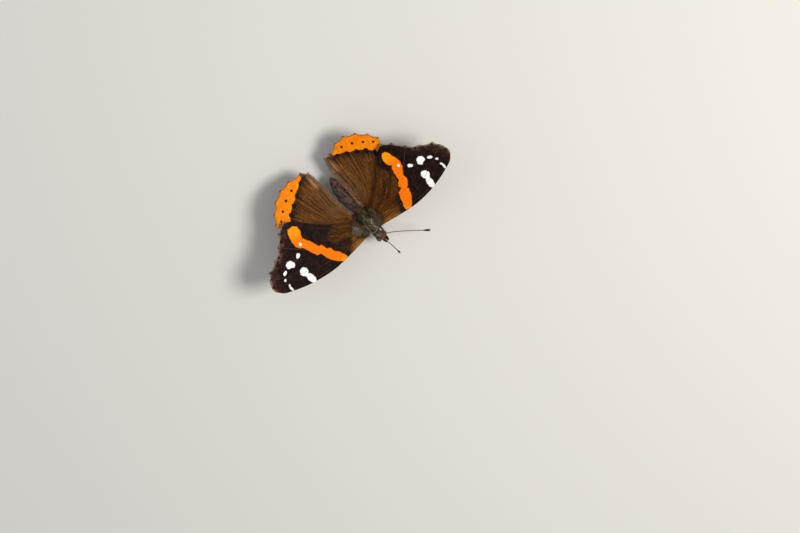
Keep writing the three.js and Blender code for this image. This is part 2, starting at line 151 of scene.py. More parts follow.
# The orange band as a closed outline on each wing, and the white spots as ovals: middle x and y, half
# length, half width, and the turn of the length from +x in degrees
BAND = {
    "left": [
        (-14.1, 17.4), (-13.9, 18.3), (-13.0, 18.9), (-11.5, 19.2), (-10.2, 19.7), (-8.6, 19.75),
        (-7.5, 19.4), (-6.5, 18.7), (-5.2, 17.85), (-4.0, 18.0), (-2.9, 17.6), (-1.95, 16.7),
        (-1.6, 16.3), (-1.1, 16.5), (0.3, 16.0), (1.9, 15.15), (3.3, 14.0), (3.9, 13.0), (3.6, 11.6),
        (2.2, 11.75), (1.05, 12.5), (0.75, 12.35), (-0.1, 12.65), (-0.8, 12.95), (-1.9, 13.3),
        (-2.1, 14.2), (-2.4, 14.9), (-3.2, 14.5), (-4.1, 15.0), (-4.7, 15.9), (-5.75, 16.0),
        (-7.3, 16.2), (-8.7, 16.55), (-9.5, 17.2), (-9.9, 16.55), (-10.9, 16.1), (-12.3, 16.15),
        (-13.4, 16.7)],
    "right": [
        (-14.0, 17.1), (-13.05, 16.1), (-11.4, 16.1), (-10.4, 16.75), (-9.3, 17.1), (-8.3, 16.6),
        (-6.7, 15.8), (-4.9, 15.2), (-4.4, 15.1), (-4.1, 14.3), (-3.0, 13.85), (-2.5, 14.0),
        (-1.8, 13.0), (-0.7, 12.6), (-0.3, 12.8), (0.6, 11.85), (2.4, 11.1), (3.7, 10.7), (4.1, 12.0),
        (2.8, 13.7), (1.1, 14.9), (-0.7, 15.6), (-2.0, 15.75), (-2.45, 16.2), (-2.6, 17.1),
        (-4.0, 17.6), (-6.3, 18.4), (-7.2, 18.9), (-7.7, 19.6), (-8.7, 20.1), (-10.3, 20.05),
        (-11.8, 19.8), (-13.3, 19.3), (-14.0, 18.6)]}
WHITE_SPOTS = [(-8.32, 18.61, 0.42, 0.36, 0), (-6.27, 21.27, 0.72, 0.58, 49), (-5.95, 24.9, 1.15, 0.95, 49),
               (-5.45, 24.25, 0.85, 0.8, 0), (-4.91, 27.39, 0.72, 0.42, 49), (-3.31, 28.67, 0.42, 0.3, 49),
               (-0.2, 28.85, 0.75, 0.32, -8), (-1.2, 28.75, 0.55, 0.3, 25), (-1.5, 23.0, 1.35, 1.15, 0),
               (1.2, 22.55, 1.7, 0.95, -4)]


def surface(name, points, quads, triangles=(), smooth=True):
    """A mesh object from points in millimetres from the hinge point and faces as rows of point numbers."""
    mesh = bpy.data.meshes.new(name)
    mesh.vertices.add(len(points))
    mesh.vertices.foreach_set("co", (np.asarray(points) * MM + hinge_point).ravel())
    triangles = np.asarray(triangles, int).reshape(-1, 3)
    quads = np.asarray(quads, int).reshape(-1, 4)
    mesh.loops.add(quads.size + triangles.size)
    mesh.loops.foreach_set("vertex_index", np.concatenate([quads.ravel(), triangles.ravel()]))
    mesh.polygons.add(len(quads) + len(triangles))
    starts = np.concatenate([np.arange(len(quads)) * 4, quads.size + np.arange(len(triangles)) * 3])
    mesh.polygons.foreach_set("loop_start", starts)
    mesh.update(calc_edges=True)
    mesh.validate()
    if smooth:
        mesh.shade_smooth()
    piece = bpy.data.objects.new(name, mesh)
    bpy.context.scene.collection.objects.link(piece)
    return piece


def keep_value(piece, name, values):
    """Stores one number, or three numbers, for every point of a piece, for its material to read."""
    values = np.asarray(values, np.float32)
    kind, key = ("FLOAT_VECTOR", "vector") if values.ndim == 2 else ("FLOAT", "value")
    piece.data.attributes.new(name, kind, "POINT").data.foreach_set(key, values.ravel())


def oval_distance(x, y, ovals, blend):
    """How far a place is outside a group of ovals, negative inside: for each oval the length of the place
    in units of the oval's radii, less one, times the mean radius. Ovals melt together over the blend."""
    total = 0
    for cx, cy, length, width, degrees in ovals:
        angle = math.radians(degrees)
        along = ((x - cx) * math.cos(angle) + (y - cy) * math.sin(angle)) / length
        across = (-(x - cx) * math.sin(angle) + (y - cy) * math.cos(angle)) / width
        away = (np.sqrt(along ** 2 + across ** 2) - 1) * math.sqrt(length * width)
        total = total + np.exp(-away / blend)
    return -blend * np.log(total)


def outline_distance(x, y, outline):
    """Distance to a closed outline of straight runs, the nearest of its runs counting; it is negative
    inside, where a line drawn sideways from the place crosses the outline an odd number of times."""
    nearest, inside = np.full(x.shape, 99.0), np.zeros(x.shape, bool)
    for (ax, ay), (bx, by) in zip(outline, outline[1:] + outline[:1]):
        run_x, run_y = bx - ax, by - ay
        share = np.clip(((x - ax) * run_x + (y - ay) * run_y) / (run_x ** 2 + run_y ** 2), 0, 1)
        nearest = np.minimum(nearest, np.hypot(x - ax - share * run_x, y - ay - share * run_y))
        inside ^= ((ay > y) != (by > y)) & (x < run_x * (y - ay) / (run_y or 1) + ax)
    return np.where(inside, -nearest, nearest)


def wing_plan(columns, rows, per_gap):
    """The wing laid flat. Row s goes from root (0) to margin (1). A vein runs straight from its root to its
    bend and on to its tip, the corner rounded over a twentieth of the wing and the outer stretch bowed as a
    parabola. Between two veins the place is their weighted mean, and the margin swells as a parabola too.
    Returns x, y, s, the vein count t, the distance to the nearest vein and to the margin."""
    root = np.array([(c[0], ROOT_Y) for c in columns])
    bend, tip = (np.array([c[k] for c in columns], float) for k in (1, 3))
    at, bow, runs, swell = (np.array([c[k] for c in columns], float) for k in (2, 4, 5, 6))
    s = np.linspace(0, 1, rows)[:, None]
    beyond = s - at
    ramp = 0.5 * (beyond + np.sqrt(beyond ** 2 + 0.05 ** 2))
    run = tip - bend
    outer = np.clip(beyond / (1 - at), 0, 1)
    side = bow * 4 * outer * (1 - outer) / np.linalg.norm(run, axis=1)
    veins = (root + (bend - root) * ((s - ramp) / at)[..., None] + run * (ramp / (1 - at))[..., None]
             + np.stack([run[:, 1], -run[:, 0]], 1) * side[..., None])
    gaps = len(columns) - 1
    t = np.linspace(0, gaps, gaps * per_gap + 1)
    left = np.minimum(t.astype(int), gaps - 1)
    share = t - left
    near, far = veins[:, left], veins[:, left + 1]
    place = near + (far - near) * share[:, None]
    chord = (tip[1:] - tip[:-1])[left]
    out = swell[left] * 4 * share * (1 - share) * s ** 8 / np.linalg.norm(chord, axis=1)
    place = place + np.stack([chord[:, 1], -chord[:, 0]], 1) * out[..., None]
    width = np.linalg.norm(far - near, axis=2)
    to_near = np.where(runs[left] > 0, share, 9) * width
    to_far = np.where(runs[left + 1] > 0, 1 - share, 9) * width
    inward = (1 - s) * np.linalg.norm(tip - root, axis=1)[left]
    return place[..., 0], place[..., 1], s + 0 * t, t + 0 * s, np.minimum(to_near, to_far), inward


def wing_place(x, y, normal, side, rise, level=0.0, sweep=0.0, fold=0.0, fold_width=2.6):
    """Sets a flat wing on the body: turned by its sweep, bowed up over the span as a half sine, its inner
    edge turned down as a square, then lifted about the hinge line by its rise."""
    turned, lifted = math.radians(sweep), math.radians(rise)
    u = x * math.cos(turned) - y * math.sin(turned)
    v = x * math.sin(turned) + y * math.cos(turned)
    inner = np.clip(1 - (v - ROOT_Y) / fold_width, 0, 1) ** 2
    w = level + normal + ARCH * np.sin(math.pi * v / SPAN) - fold * inner
    return np.stack([u, side * (v * math.cos(lifted) - w * math.sin(lifted)),
                     v * math.sin(lifted) + w * math.cos(lifted)], -1)


def wing_relief(x, y, s, vein, seed):
    """Height of the membrane over the wing's middle surface: a low round ridge over each vein, a shallow
    trough between veins, and a slow waviness towards the margin."""
    ridge = 0.06 * np.exp(-(vein / 0.13) ** 2)
    trough = -0.05 * np.minimum(vein, 1.2)
    wave = 0.09 * s * np.sin(0.55 * x + seed) * np.sin(0.6 * y + 1.7 * seed)
    return ridge + trough + wave


def two_sided(rows, cols):
    """Faces of a thin sheet from an upper and a lower grid of points, closed along its whole rim."""
    grid = np.arange(rows * cols).reshape(rows, cols)
    upper = np.stack([grid[:-1, :-1], grid[1:, :-1], grid[1:, 1:], grid[:-1, 1:]], -1).reshape(-1, 4)
    rim = np.concatenate([grid[0, :-1], grid[:-1, -1], grid[-1, :0:-1], grid[:0:-1, 0]])
    under = rows * cols
    walls = np.stack([rim, np.roll(rim, -1), np.roll(rim, -1) + under, rim + under], -1)
    return np.concatenate([upper, upper[:, ::-1] + under, walls])


def keep_on_skins(wing, **values):
    """Stores values worked out on a wing's plan for the points of both its skins."""
    for name, grid in values.items():
        keep_value(wing, name, np.tile(grid.ravel(), 2))


def make_wing(name, plan, placing, seed):
    """The membrane's upper and lower skins on one plan, half a thickness either side of its relief."""
    x, y, s, t, vein, inward = plan
    height = wing_relief(x, y, s, vein, seed)
    upper = wing_place(x, y, height + WING_HALF, **placing)
    lower = wing_place(x, y, height - WING_HALF, **placing)
    faces = two_sided(*x.shape)
    if placing["side"] > 0:
        faces = faces[:, ::-1]
    piece = surface(name, np.concatenate([upper.reshape(-1, 3), lower.reshape(-1, 3)]), faces)
    keep_on_skins(piece, vein=vein, inward=inward)
    keep_value(piece, "upper", np.repeat([1.0, 0.0], x.size))
    for key, first, second in (("fan", t, s), ("flat", x, y)):
        pair = np.stack([first.ravel(), second.ravel(), np.zeros(x.size)], -1)
        keep_value(piece, key, np.tile(pair, (2, 1)))
    return piece


class Finish:
    """A material's nodes, with short names for those that its colours are mixed from."""

    def __init__(self, name, roughness, specular=0.3):
        self.material = bpy.data.materials.new(name)
        self.material.use_nodes = True
        self.tree = self.material.node_tree
        self.shader = self.tree.nodes["Principled BSDF"]
        self.shader.inputs["Roughness"].default_value = roughness
        self.shader.inputs["Specular IOR Level"].default_value = specular

    def put(self, socket, value):
        """Links a socket to another one, or sets its number or colour."""
        if isinstance(value, bpy.types.NodeSocket):
            self.tree.links.new(value, socket)
        elif isinstance(value, tuple):
            socket.default_value = (*value, 1.0) if len(value) < len(socket.default_value) else value
        else:
            socket.default_value = value

    def read(self, name, vector=False):
        """A value that is kept on the piece's points."""
        node = self.tree.nodes.new("ShaderNodeAttribute")
        node.attribute_name = name
        return node.outputs["Vector" if vector else "Fac"]

    def stretch(self, vector, scale):
        """A place scaled along each axis."""
        node = self.tree.nodes.new("ShaderNodeMapping")
        self.put(node.inputs["Vector"], vector)
        node.inputs["Scale"].default_value = scale
        return node.outputs["Vector"]

    def place(self):
        """The place on the piece in millimetres."""
        return self.stretch(self.tree.nodes.new("ShaderNodeTexCoord").outputs["Object"], (1 / MM,) * 3)

    def noise(self, vector, scale, detail=3.0, rough=0.6, distortion=0.0):
        """Cloudy noise about one half."""
        node = self.tree.nodes.new("ShaderNodeTexNoise")
        self.put(node.inputs["Vector"], vector)
        node.inputs["Scale"].default_value = scale
        node.inputs["Detail"].default_value = detail
        node.inputs["Roughness"].default_value = rough
        node.inputs["Distortion"].default_value = distortion
        return node.outputs["Fac"]

    def cells(self, vector, scale):
        """Distance to the middle of the nearest of many round cells."""
        node = self.tree.nodes.new("ShaderNodeTexVoronoi")
        node.feature = "F1"
        self.put(node.inputs["Vector"], vector)
        node.inputs["Scale"].default_value = scale
        return node.outputs["Distance"]

    def reckon(self, kind, a, b):
        """Two values added, multiplied or taken away, as the kind says."""
        node = self.tree.nodes.new("ShaderNodeMath")
        node.operation = kind
        self.put(node.inputs[0], a)
        self.put(node.inputs[1], b)
        return node.outputs[0]

    def plus(self, a, b):
        """Two values added."""
        return self.reckon("ADD", a, b)

    def times(self, a, b):
        """Two values multiplied."""
        return self.reckon("MULTIPLY", a, b)

    def swing(self, value, size):
        """How far a value is from one half, times a size."""
        return self.times(self.reckon("SUBTRACT", value, 0.5), size)

    def step(self, value, low, high, to_low=0.0, to_high=1.0):
        """A smooth step from one level to another as a value goes from low to high."""
        node = self.tree.nodes.new("ShaderNodeMapRange")
        node.interpolation_type = "SMOOTHSTEP"
        for socket, item in zip(("Value", "From Min", "From Max", "To Min", "To Max"),
                                (value, low, high, to_low, to_high)):
            self.put(node.inputs[socket], item)
        return node.outputs["Result"]

    def mix(self, share, a, b, kind="MIX"):
        """Two colours mixed by a share."""
        node = self.tree.nodes.new("ShaderNodeMix")
        node.data_type = "RGBA"
        node.blend_type = kind
        self.put(node.inputs["Factor"], share)
        self.put(node.inputs[6], a)
        self.put(node.inputs[7], b)
        return node.outputs[2]

    def shade(self, colour, value, low, high):
        """Multiplies a colour by a grey between two levels."""
        grey = self.mix(value, (low, low, low), (high, high, high))
        return self.mix(1.0, colour, grey, "MULTIPLY")

    def done(self, colour, height=None, depth=0.02, strength=0.6):
        """Puts the colour, and bumps of a depth in millimetres, on the shader."""
        self.put(self.shader.inputs["Base Color"], colour)
        if height is not None:
            bump = self.tree.nodes.new("ShaderNodeBump")
            bump.inputs["Distance"].default_value = depth * MM
            bump.inputs["Strength"].default_value = strength
            self.put(bump.inputs["Height"], height)
            self.put(self.shader.inputs["Normal"], bump.outputs["Normal"])
        return self.material


def wing_patterns(f, streak, fine_streak):
    """What both pairs of wings are mixed from: a powder of scales, a coarser grain, slow blotches, streaks
    and finer streaks that fan from the root, and a fray that breaks up the edge of a marking."""
    flat, fan = f.read("flat", True), f.read("fan", True)
    scales = f.noise(flat, 7.0, 2.0, 0.7)
    grain = f.step(f.noise(flat, 1.7, 4.0, 0.75), 0.34, 0.66)
    blotches = f.noise(flat, 0.5, 4.0, 0.6)
    streaks = f.noise(f.stretch(fan, streak), 3.0, 6.0, 0.75)
    fine_streaks = f.noise(f.stretch(fan, fine_streak), 2.0, 4.0, 0.75)
    fray = f.swing(f.noise(flat, 1.3, 5.0, 0.75), 0.9)
    return flat, scales, grain, blotches, streaks, fine_streaks, fray


def forewing_finish():
    """Near-black outer half with white spots, a vivid orange band with frayed edges, black patches on its
    inner side, and a brown base with gold hair scales. The underside is greyer, its band pink-red."""
    f = Finish("forewing_scales", 0.62, 0.07)
    flat, scales, grain, blotches, streaks, fine_streaks, fray = wing_patterns(
        f, (1.3, 0.55, 1), (5, 1.6, 1))
    band = f.plus(f.read("band"), fray)
    white = f.plus(f.read("white"), f.times(fray, 1.3))
    beyond, inward, vein, gold = f.read("beyond"), f.read("inward"), f.read("vein"), f.read("gold")
    brown = f.mix(f.step(streaks, 0.40, 0.60), (0.020, 0.006, 0.001), (0.085, 0.024, 0.003))
    brown = f.mix(f.step(fine_streaks, 0.48, 0.64, 0.0, 0.85), brown, (0.17, 0.052, 0.006))
    brown = f.mix(f.step(blotches, 0.48, 0.60, 0.0, 0.6), brown, (0.045, 0.032, 0.005))
    gold_hair = f.times(f.step(gold, 0.0, 0.9), f.step(fine_streaks, 0.42, 0.58))
    brown = f.mix(gold_hair, brown, (0.62, 0.23, 0.030))
    brown = f.mix(f.step(gold, 0.2, 1.2, 0.0, 0.55), brown, (0.24, 0.095, 0.016))
    dark = f.mix(f.step(blotches, 0.4, 0.65), (0.006, 0.003, 0.002), (0.018, 0.007, 0.005))
    # Painted highlight: lighter purplish lines along the veins of the dark area, where light catches the
    # vein ridges.
    vein_highlight = f.times(f.step(vein, 0.16, 0.04, 0.0, 0.5), f.step(streaks, 0.42, 0.58))
    dark = f.mix(vein_highlight, dark, (0.10, 0.045, 0.045))
    # Dark beyond the band's middle: the black pattern, plus painted shade on the right wing, where it
    # reaches further.
    colour = f.mix(f.step(f.plus(beyond, f.swing(streaks, 9.0)), -0.9, 0.5), brown, dark)
    worn = f.step(f.plus(inward, f.times(blotches, 9.0)), 7.5, 4.5)
    worn = f.times(f.times(worn, f.step(f.noise(flat, 0.9, 5.0, 0.8), 0.42, 0.58)), f.read("wear"))
    colour = f.mix(worn, colour, (0.13, 0.050, 0.036))
    colour = f.shade(colour, grain, 0.45, 1.5)
    ends = f.step(f.plus(f.read("ends"), f.times(blotches, 0.3)), 0.3, 1.1)
    orange = f.mix(ends, (0.94, 0.185, 0.001), (0.97, 0.30, 0.002))
    orange = f.mix(f.step(vein, 0.12, 0.03, 0.0, 0.35), orange, (0.62, 0.10, 0.003))
    orange = f.shade(orange, grain, 0.90, 1.06)
    on_band = f.step(band, 0.12, -0.10)
    colour = f.mix(on_band, colour, orange)
    chalk = f.mix(f.step(scales, 0.58, 0.8, 0.0, 0.4), (0.92, 0.92, 0.90), (0.42, 0.38, 0.37))
    chalk = f.mix(f.step(vein, 0.14, 0.05, 0.0, 0.45), chalk, (0.25, 0.22, 0.22))
    colour = f.mix(f.step(white, 0.10, -0.10), colour, chalk)
    edge = f.times(f.step(inward, 0.45, 0.1, 0.0, 0.8), f.step(f.noise(flat, 0.9, 3.0), 0.42, 0.56))
    colour = f.mix(edge, colour, (0.30, 0.19, 0.13))
    marble = f.noise(flat, 1.1, 5.0, 0.7, 1.2)
    below = f.mix(f.step(marble, 0.35, 0.62), (0.035, 0.022, 0.015), (0.20, 0.14, 0.09))
    below = f.mix(f.step(beyond, 9.0, 2.0), below, (0.022, 0.014, 0.012))
    below = f.mix(on_band, below, (0.62, 0.15, 0.075))
    below = f.mix(f.step(white, 0.10, -0.08), below, (0.74, 0.72, 0.68))
    colour = f.mix(f.read("upper"), below, colour)
    return f.done(colour, f.plus(scales, fine_streaks), 0.06, 0.6)


# Half the band's width, how far the black reaches behind the band at the wing's rear and elsewhere, and the
# worn stretch of the margin: most wear, its middle and its spread in veins. On the right wing the black
# reaches further behind its band as painted shade, for the way light falls on that wing; the right wing is
# also the more worn.
BAND_HALF = 2.6
BLACK_AND_SHADE_REACH = {"left": (0.8, 0.3), "right": (6.5, 1.0)}
WEAR = {"left": (0.8, 3.6, 2.2), "right": (1.0, 4.6, 3.2)}
forewing_plan = wing_plan(FOREWING, 230, 17)
fx, fy, fs, ft = forewing_plan[:4]
white_distance = np.minimum(oval_distance(fx, fy, WHITE_SPOTS[:1], 0.05),
                            oval_distance(fx, fy, WHITE_SPOTS[1:], 0.12))
band_ends = (np.exp(-((fx - 4.2) ** 2 + (fy - 12.2) ** 2) / 2.6)
             + np.exp(-((fx + 12.9) ** 2 + (fy - 17.6) ** 2) / 9.0))
gold_base = (np.exp(-((fx - 2.6) / 2.4) ** 2) * np.clip((12.0 - fy) / 7, 0, 1)
             + 0.3 * np.clip((9 - fy) / 8, 0, 1))
rear_share = np.clip((ft - 1.8) / 2.2, 0, 1) * np.clip((fy - 4.5) / 3.5, 0, 1)
forewing_material = forewing_finish()
for side_name, side in SIDES.items():
    wing = make_wing(f"forewing_{side_name}_scales", forewing_plan, FORE_PLACING[side_name], 0.6 * side)
    band_distance = outline_distance(fx, fy, BAND[side_name])
    # How far a place lies beyond the middle of the band, along the veins
    centre_row, columns = np.argmin(band_distance, axis=0), np.arange(fx.shape[1])
    beyond = np.hypot(fx - fx[centre_row, columns], fy - fy[centre_row, columns])
    beyond = beyond * np.sign(np.arange(fx.shape[0])[:, None] - centre_row) + BAND_HALF
    # The right wing's larger reach paints shade behind its band.
    at_rear, elsewhere = BLACK_AND_SHADE_REACH[side_name]
    most_worn, worn_middle, worn_spread = WEAR[side_name]
    keep_on_skins(wing, band=band_distance, white=white_distance,
                  beyond=beyond + at_rear * rear_share + elsewhere, ends=band_ends, gold=gold_base,
                  wear=most_worn * np.exp(-((ft - worn_middle) / worn_spread) ** 4))
    wing.data.materials.append(forewing_material)
    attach(wing, "root")
    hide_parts(f"forewing_{side_name}")


# Hindwings.
# Rounder and softer than the forewings and tucked under their rear edges, with a scalloped margin and an
# inner edge turned down beside the abdomen. Made the same way, a millimetre lower.
HIND_DROP, HIND_FOLD = 1.06, 0.7
HIND_SWEEP = {"left": 2.0, "right": -2.0}
HIND_PLACING = {name: {"side": side, "rise": RISE[name], "level": -HIND_DROP, "sweep": HIND_SWEEP[name],
                       "fold": HIND_FOLD} for name, side in SIDES.items()}


def hindwing_columns(front, back, inner, bow):
    """The nine columns of a hindwing, whose front and rear corners differ a little from side to side."""
    return [
        (-0.6, (-2.6, 11.0), 0.45, front[0], 0.9, 0, 0.1),
        (-1.1, (-6.2, 11.5), 0.5, front[1], 0.3, 1, 0.0),
        (-1.6, (-8.0, 11.3), 0.5, (-17.5, 19.8), 0.3, 1, -0.35),
        (-2.0, (-9.1, 10.8), 0.5, (-20.2, 18.2), 0.2, 1, -0.4),
        (-2.4, (-9.8, 9.9), 0.5, (-22.7, 15.4), 0.2, 1, -0.4),
        (-2.7, (-9.0, 8.5), 0.44, (-24.2, 12.1), 0.2, 1, -0.35),
        (-3.0, (-7.4, 6.2), 0.3, back[0], 0.2, 1, -0.5),
        (-3.5, (-10.4, 4.9), 0.42, back[1], 0.0, 1, 0.0),
        (-4.4, inner, 0.42, back[2], bow, 0, 0.0)]


HINDWING = {
    "left": hindwing_columns([(-14.9, 18.2), (-16.2, 19.2)], [(-23.9, 8.6), (-22.3, 5.4), (-21.8, 3.2)],
                             (-11.5, 1.85), -0.7),
    "right": hindwing_columns([(-15.3, 18.5), (-16.8, 19.7)], [(-24.4, 8.6), (-23.8, 4.4), (-21.8, 3.1)],
                              (-11.5, 2.5), -0.3)}
# Black dots as ovals, and how far the orange border reaches in from the margin at a vein count
BORDER_DOTS = [(-17.52, 17.82, 0.42, 0.34, 30), (-19.29, 15.51, 0.42, 0.36, 30),
               (-20.95, 12.77, 0.44, 0.38, 0), (-21.97, 9.66, 0.42, 0.36, 0)]
BORDER_WIDTH = [(0, 3.8), (1, 4.2), (2, 4.4), (5, 4.5), (6, 3.2), (6.5, 1.8), (7, 0.7), (7.4, 0.15),
                (8, -0.5)]


def hindwing_finish():
    """Warm brown with gold hair streaks that fan from the root, a paler inner edge, an orange border with
    four black dots, and black patches along its inner side. The underside is marbled like bark."""
    f = Finish("hindwing_scales", 0.66, 0.07)
    flat, scales, grain, blotches, streaks, fine_streaks, fray = wing_patterns(
        f, (1.3, 0.5, 1), (5, 1.4, 1))
    inward, vein, border = f.read("inward"), f.read("vein"), f.read("border")
    brown = f.mix(f.step(streaks, 0.40, 0.60), (0.030, 0.009, 0.001), (0.125, 0.042, 0.006))
    brown = f.mix(f.step(fine_streaks, 0.48, 0.64, 0.0, 0.85), brown, (0.30, 0.115, 0.026))
    brown = f.mix(f.step(blotches, 0.5, 0.62, 0.0, 0.4), brown, (0.075, 0.048, 0.009))
    pale = f.mix(f.step(fine_streaks, 0.42, 0.58), (0.11, 0.042, 0.013), (0.42, 0.20, 0.085))
    brown = f.mix(f.step(f.plus(f.read("inner"), f.times(fray, 0.4)), 0.1, 0.9), brown, pale)
    dusk = f.step(f.plus(border, f.swing(streaks, 12.0)), 3.6, 0.4, 0.0, 0.85)
    colour = f.mix(dusk, brown, (0.022, 0.008, 0.003))
    colour = f.shade(colour, grain, 0.6, 1.4)
    orange = f.mix(f.step(blotches, 0.4, 0.65), (0.86, 0.20, 0.002), (0.96, 0.285, 0.003))
    orange = f.mix(f.step(vein, 0.10, 0.03, 0.0, 0.2), orange, (0.55, 0.13, 0.008))
    orange = f.shade(orange, grain, 0.84, 1.08)
    colour = f.mix(f.step(f.plus(border, fray), 0.12, -0.12), colour, orange)
    patches = f.plus(f.read("patches"), f.times(fray, 0.8))
    colour = f.mix(f.step(patches, 0.12, -0.10), colour, (0.008, 0.005, 0.004))
    dots = f.plus(f.read("dots"), f.times(fray, 0.25))
    colour = f.mix(f.step(dots, 0.08, -0.08), colour, (0.010, 0.004, 0.003))
    edge = f.step(f.plus(inward, f.times(fray, 0.4)), 0.30, 0.10, 0.0, 0.7)
    colour = f.mix(edge, colour, (0.16, 0.065, 0.025))
    colour = f.mix(f.step(f.read("corner"), 0.30, 0.75), colour, (0.055, 0.050, 0.058))
    marble = f.noise(flat, 0.75, 6.0, 0.72, 1.6)
    bark = f.mix(f.step(marble, 0.38, 0.6), (0.025, 0.017, 0.013), (0.21, 0.15, 0.10))
    bark = f.mix(f.step(f.noise(flat, 2.1, 4.0, 0.7, 0.8), 0.52, 0.62), bark, (0.10, 0.052, 0.026))
    bark = f.mix(f.step(f.plus(inward, blotches), 2.4, 1.2, 0.0, 0.6), bark, (0.24, 0.19, 0.14))
    colour = f.mix(f.read("upper"), bark, colour)
    return f.done(colour, f.plus(scales, fine_streaks), 0.06, 0.6)


hindwing_material = hindwing_finish()
hindwing_plans = {name: wing_plan(HINDWING[name], 210, 16) for name in SIDES}
for side_name, side in SIDES.items():
    plan = hindwing_plans[side_name]
    wing = make_wing(f"hindwing_{side_name}_scales", plan, HIND_PLACING[side_name], 1.1 * side)
    x, y, count, inward = (plan[k] for k in (0, 1, 3, 5))
    border = inward - np.interp(count, *np.array(BORDER_WIDTH).T)
    # A black patch in the middle of each gap between veins, smaller towards the inner edge
    gap = np.floor(count) + 0.5
    patches = np.hypot(np.abs(count - gap) * 2.6, (border - 0.30) * 0.85) - (1.02 - 0.09 * gap)
    patches = np.where((gap > 1.4) & (gap < 6.6), patches, 3.0)
    corner_x, corner_y = HINDWING[side_name][-2][3]
    corner_share = np.exp(-((x - corner_x - 0.7) ** 2 + (y - corner_y - 0.1) ** 2) / 0.5)
    keep_on_skins(wing, dots=oval_distance(x, y, BORDER_DOTS, 0.05), border=border, patches=patches,
                  inner=np.clip((count - 6.55) / 1.3, 0, 1), corner=corner_share)
    wing.data.materials.append(hindwing_material)
    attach(wing, "root")
    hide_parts(f"hindwing_{side_name}")


# The body's skin.
# Head, thorax and abdomen are one horny shell, narrowed at the neck and the waist and ringed along the
# abdomen, under a coat of hair. Made as one surface around a line of stations.

# A station: place along the body, half width, half height, and the middle's z and y
BODY = np.array([
    (-16.45, 0.05, 0.05, -1.75, 0.05), (-16.3, 0.38, 0.36, -1.72, 0.05), (-15.9, 0.75, 0.72, -1.65, 0),
    (-14.5, 1.3, 1.18, -1.5, -0.15), (-12.5, 1.66, 1.45, -1.35, -0.4), (-9.5, 1.76, 1.58, -1.2, -0.5),
    (-7, 1.6, 1.5, -1.05, -0.35), (-5.2, 1.35, 1.35, -1.0, -0.15), (-4.5, 1.25, 1.3, -0.95, 0),
    (-4.0, 1.45, 1.6, -0.9, 0), (-2.8, 1.9, 2.15, -0.8, 0), (-1, 2.15, 2.45, -0.75, 0),
    (0.8, 2.15, 2.5, -0.75, 0), (2.4, 1.95, 2.2, -0.8, 0), (3.6, 1.45, 1.6, -0.9, 0),
    (4.3, 1.15, 1.25, -0.95, 0), (4.7, 1.0, 1.1, -1.0, 0), (5.2, 1.15, 1.25, -1.0, 0),
    (6.0, 1.22, 1.35, -1.0, 0), (6.9, 1.0, 1.1, -1.05, 0), (7.4, 0.5, 0.6, -1.1, 0),
    (7.55, 0.05, 0.05, -1.1, 0)])
NECK, HEAD_TURN = 4.75, math.radians(12)
SEGMENT_EDGES = np.linspace(-16.0, -5.2, 9)


def body_profile(x):
    """Half width, half height and the middle's z and y at a place along the body: the stations joined by
    straight lines, then averaged over half a millimetre, and nicked at the rear edge of each ring."""
    offsets = np.linspace(-0.25, 0.25, 7)
    half_width, half_height, middle_z, middle_y = (
        np.mean([np.interp(x + offset, BODY[:, 0], BODY[:, k]) for offset in offsets], axis=0)
        for k in (1, 2, 3, 4))
    past_edge = x[..., None] - SEGMENT_EDGES
    nick = np.sum(np.where(past_edge > 0, np.exp(-past_edge / 0.5), np.exp(past_edge / 0.12)), axis=-1)
    narrowed = 1 - 0.07 * np.clip(nick, 0, 1)
    return half_width * narrowed, half_height * narrowed, middle_z, middle_y


def turn_head(point, turn=HEAD_TURN):
    """Turns points of the head about the upright axis through the neck, to the insect's left."""
    point = np.asarray(point, float)
    x, y, z = point[..., 0] - NECK, point[..., 1], point[..., 2]
    return np.stack([NECK + x * np.cos(turn) - y * np.sin(turn), x * np.sin(turn) + y * np.cos(turn), z], -1)


def body_place(x, angle):
    """Point on the skin. The angle runs from the crown over the left side; the head is turned to the left,
    the turn growing from nothing to its full size over the neck."""
    half_width, half_height, middle_z, middle_y = body_profile(x)
    point = np.stack([x, middle_y + half_width * np.sin(angle), middle_z + half_height * np.cos(angle)], -1)
    return turn_head(point, HEAD_TURN * np.clip((x - 4.3) / 0.9, 0, 1))


def body_frame(x, angle):
    """Point, backward direction and outward direction on the skin, from differences of nearby points."""
    small = 0.01
    point = body_place(x, angle)
    forward = body_place(x + small, angle) - point
    around = body_place(x, angle + small) - point
    return point, -unit(forward), unit(np.cross(around, forward))


def closed_tube(rows, around):
    """Faces of a tube of points in rings, closed at both ends with a fan to an end point that follows."""
    grid = np.arange(rows * around).reshape(rows, around)
    beside = np.roll(grid, -1, axis=1)
    quads = np.stack([grid[:-1], beside[:-1], beside[1:], grid[1:]], -1).reshape(-1, 4)
    first, last = rows * around, rows * around + 1
    fans = np.concatenate([np.stack([beside[0], grid[0], np.full(around, first)], -1),
                           np.stack([grid[-1], beside[-1], np.full(around, last)], -1)])
    return quads, fans


def mottle(place, size, seed):
    """Smooth random blotches, the sum of six crossed sine waves with seeded directions, held to -1..1."""
    draw = np.random.default_rng(seed)
    total = 0
    for wave in range(6):
        direction = unit(draw.normal(size=3))
        phase = place @ direction * (2 * math.pi / size) * (0.7 + 0.25 * wave)
        total = total + np.sin(phase + draw.uniform(0, 6.28))
    return np.clip(total / 2.6, -1, 1)


def blend(share, low, high):
    """Mixes two colours by a share held to 0..1."""
    share = np.clip(share, 0, 1)[..., None]
    return np.asarray(low) * (1 - share) + np.asarray(high) * share


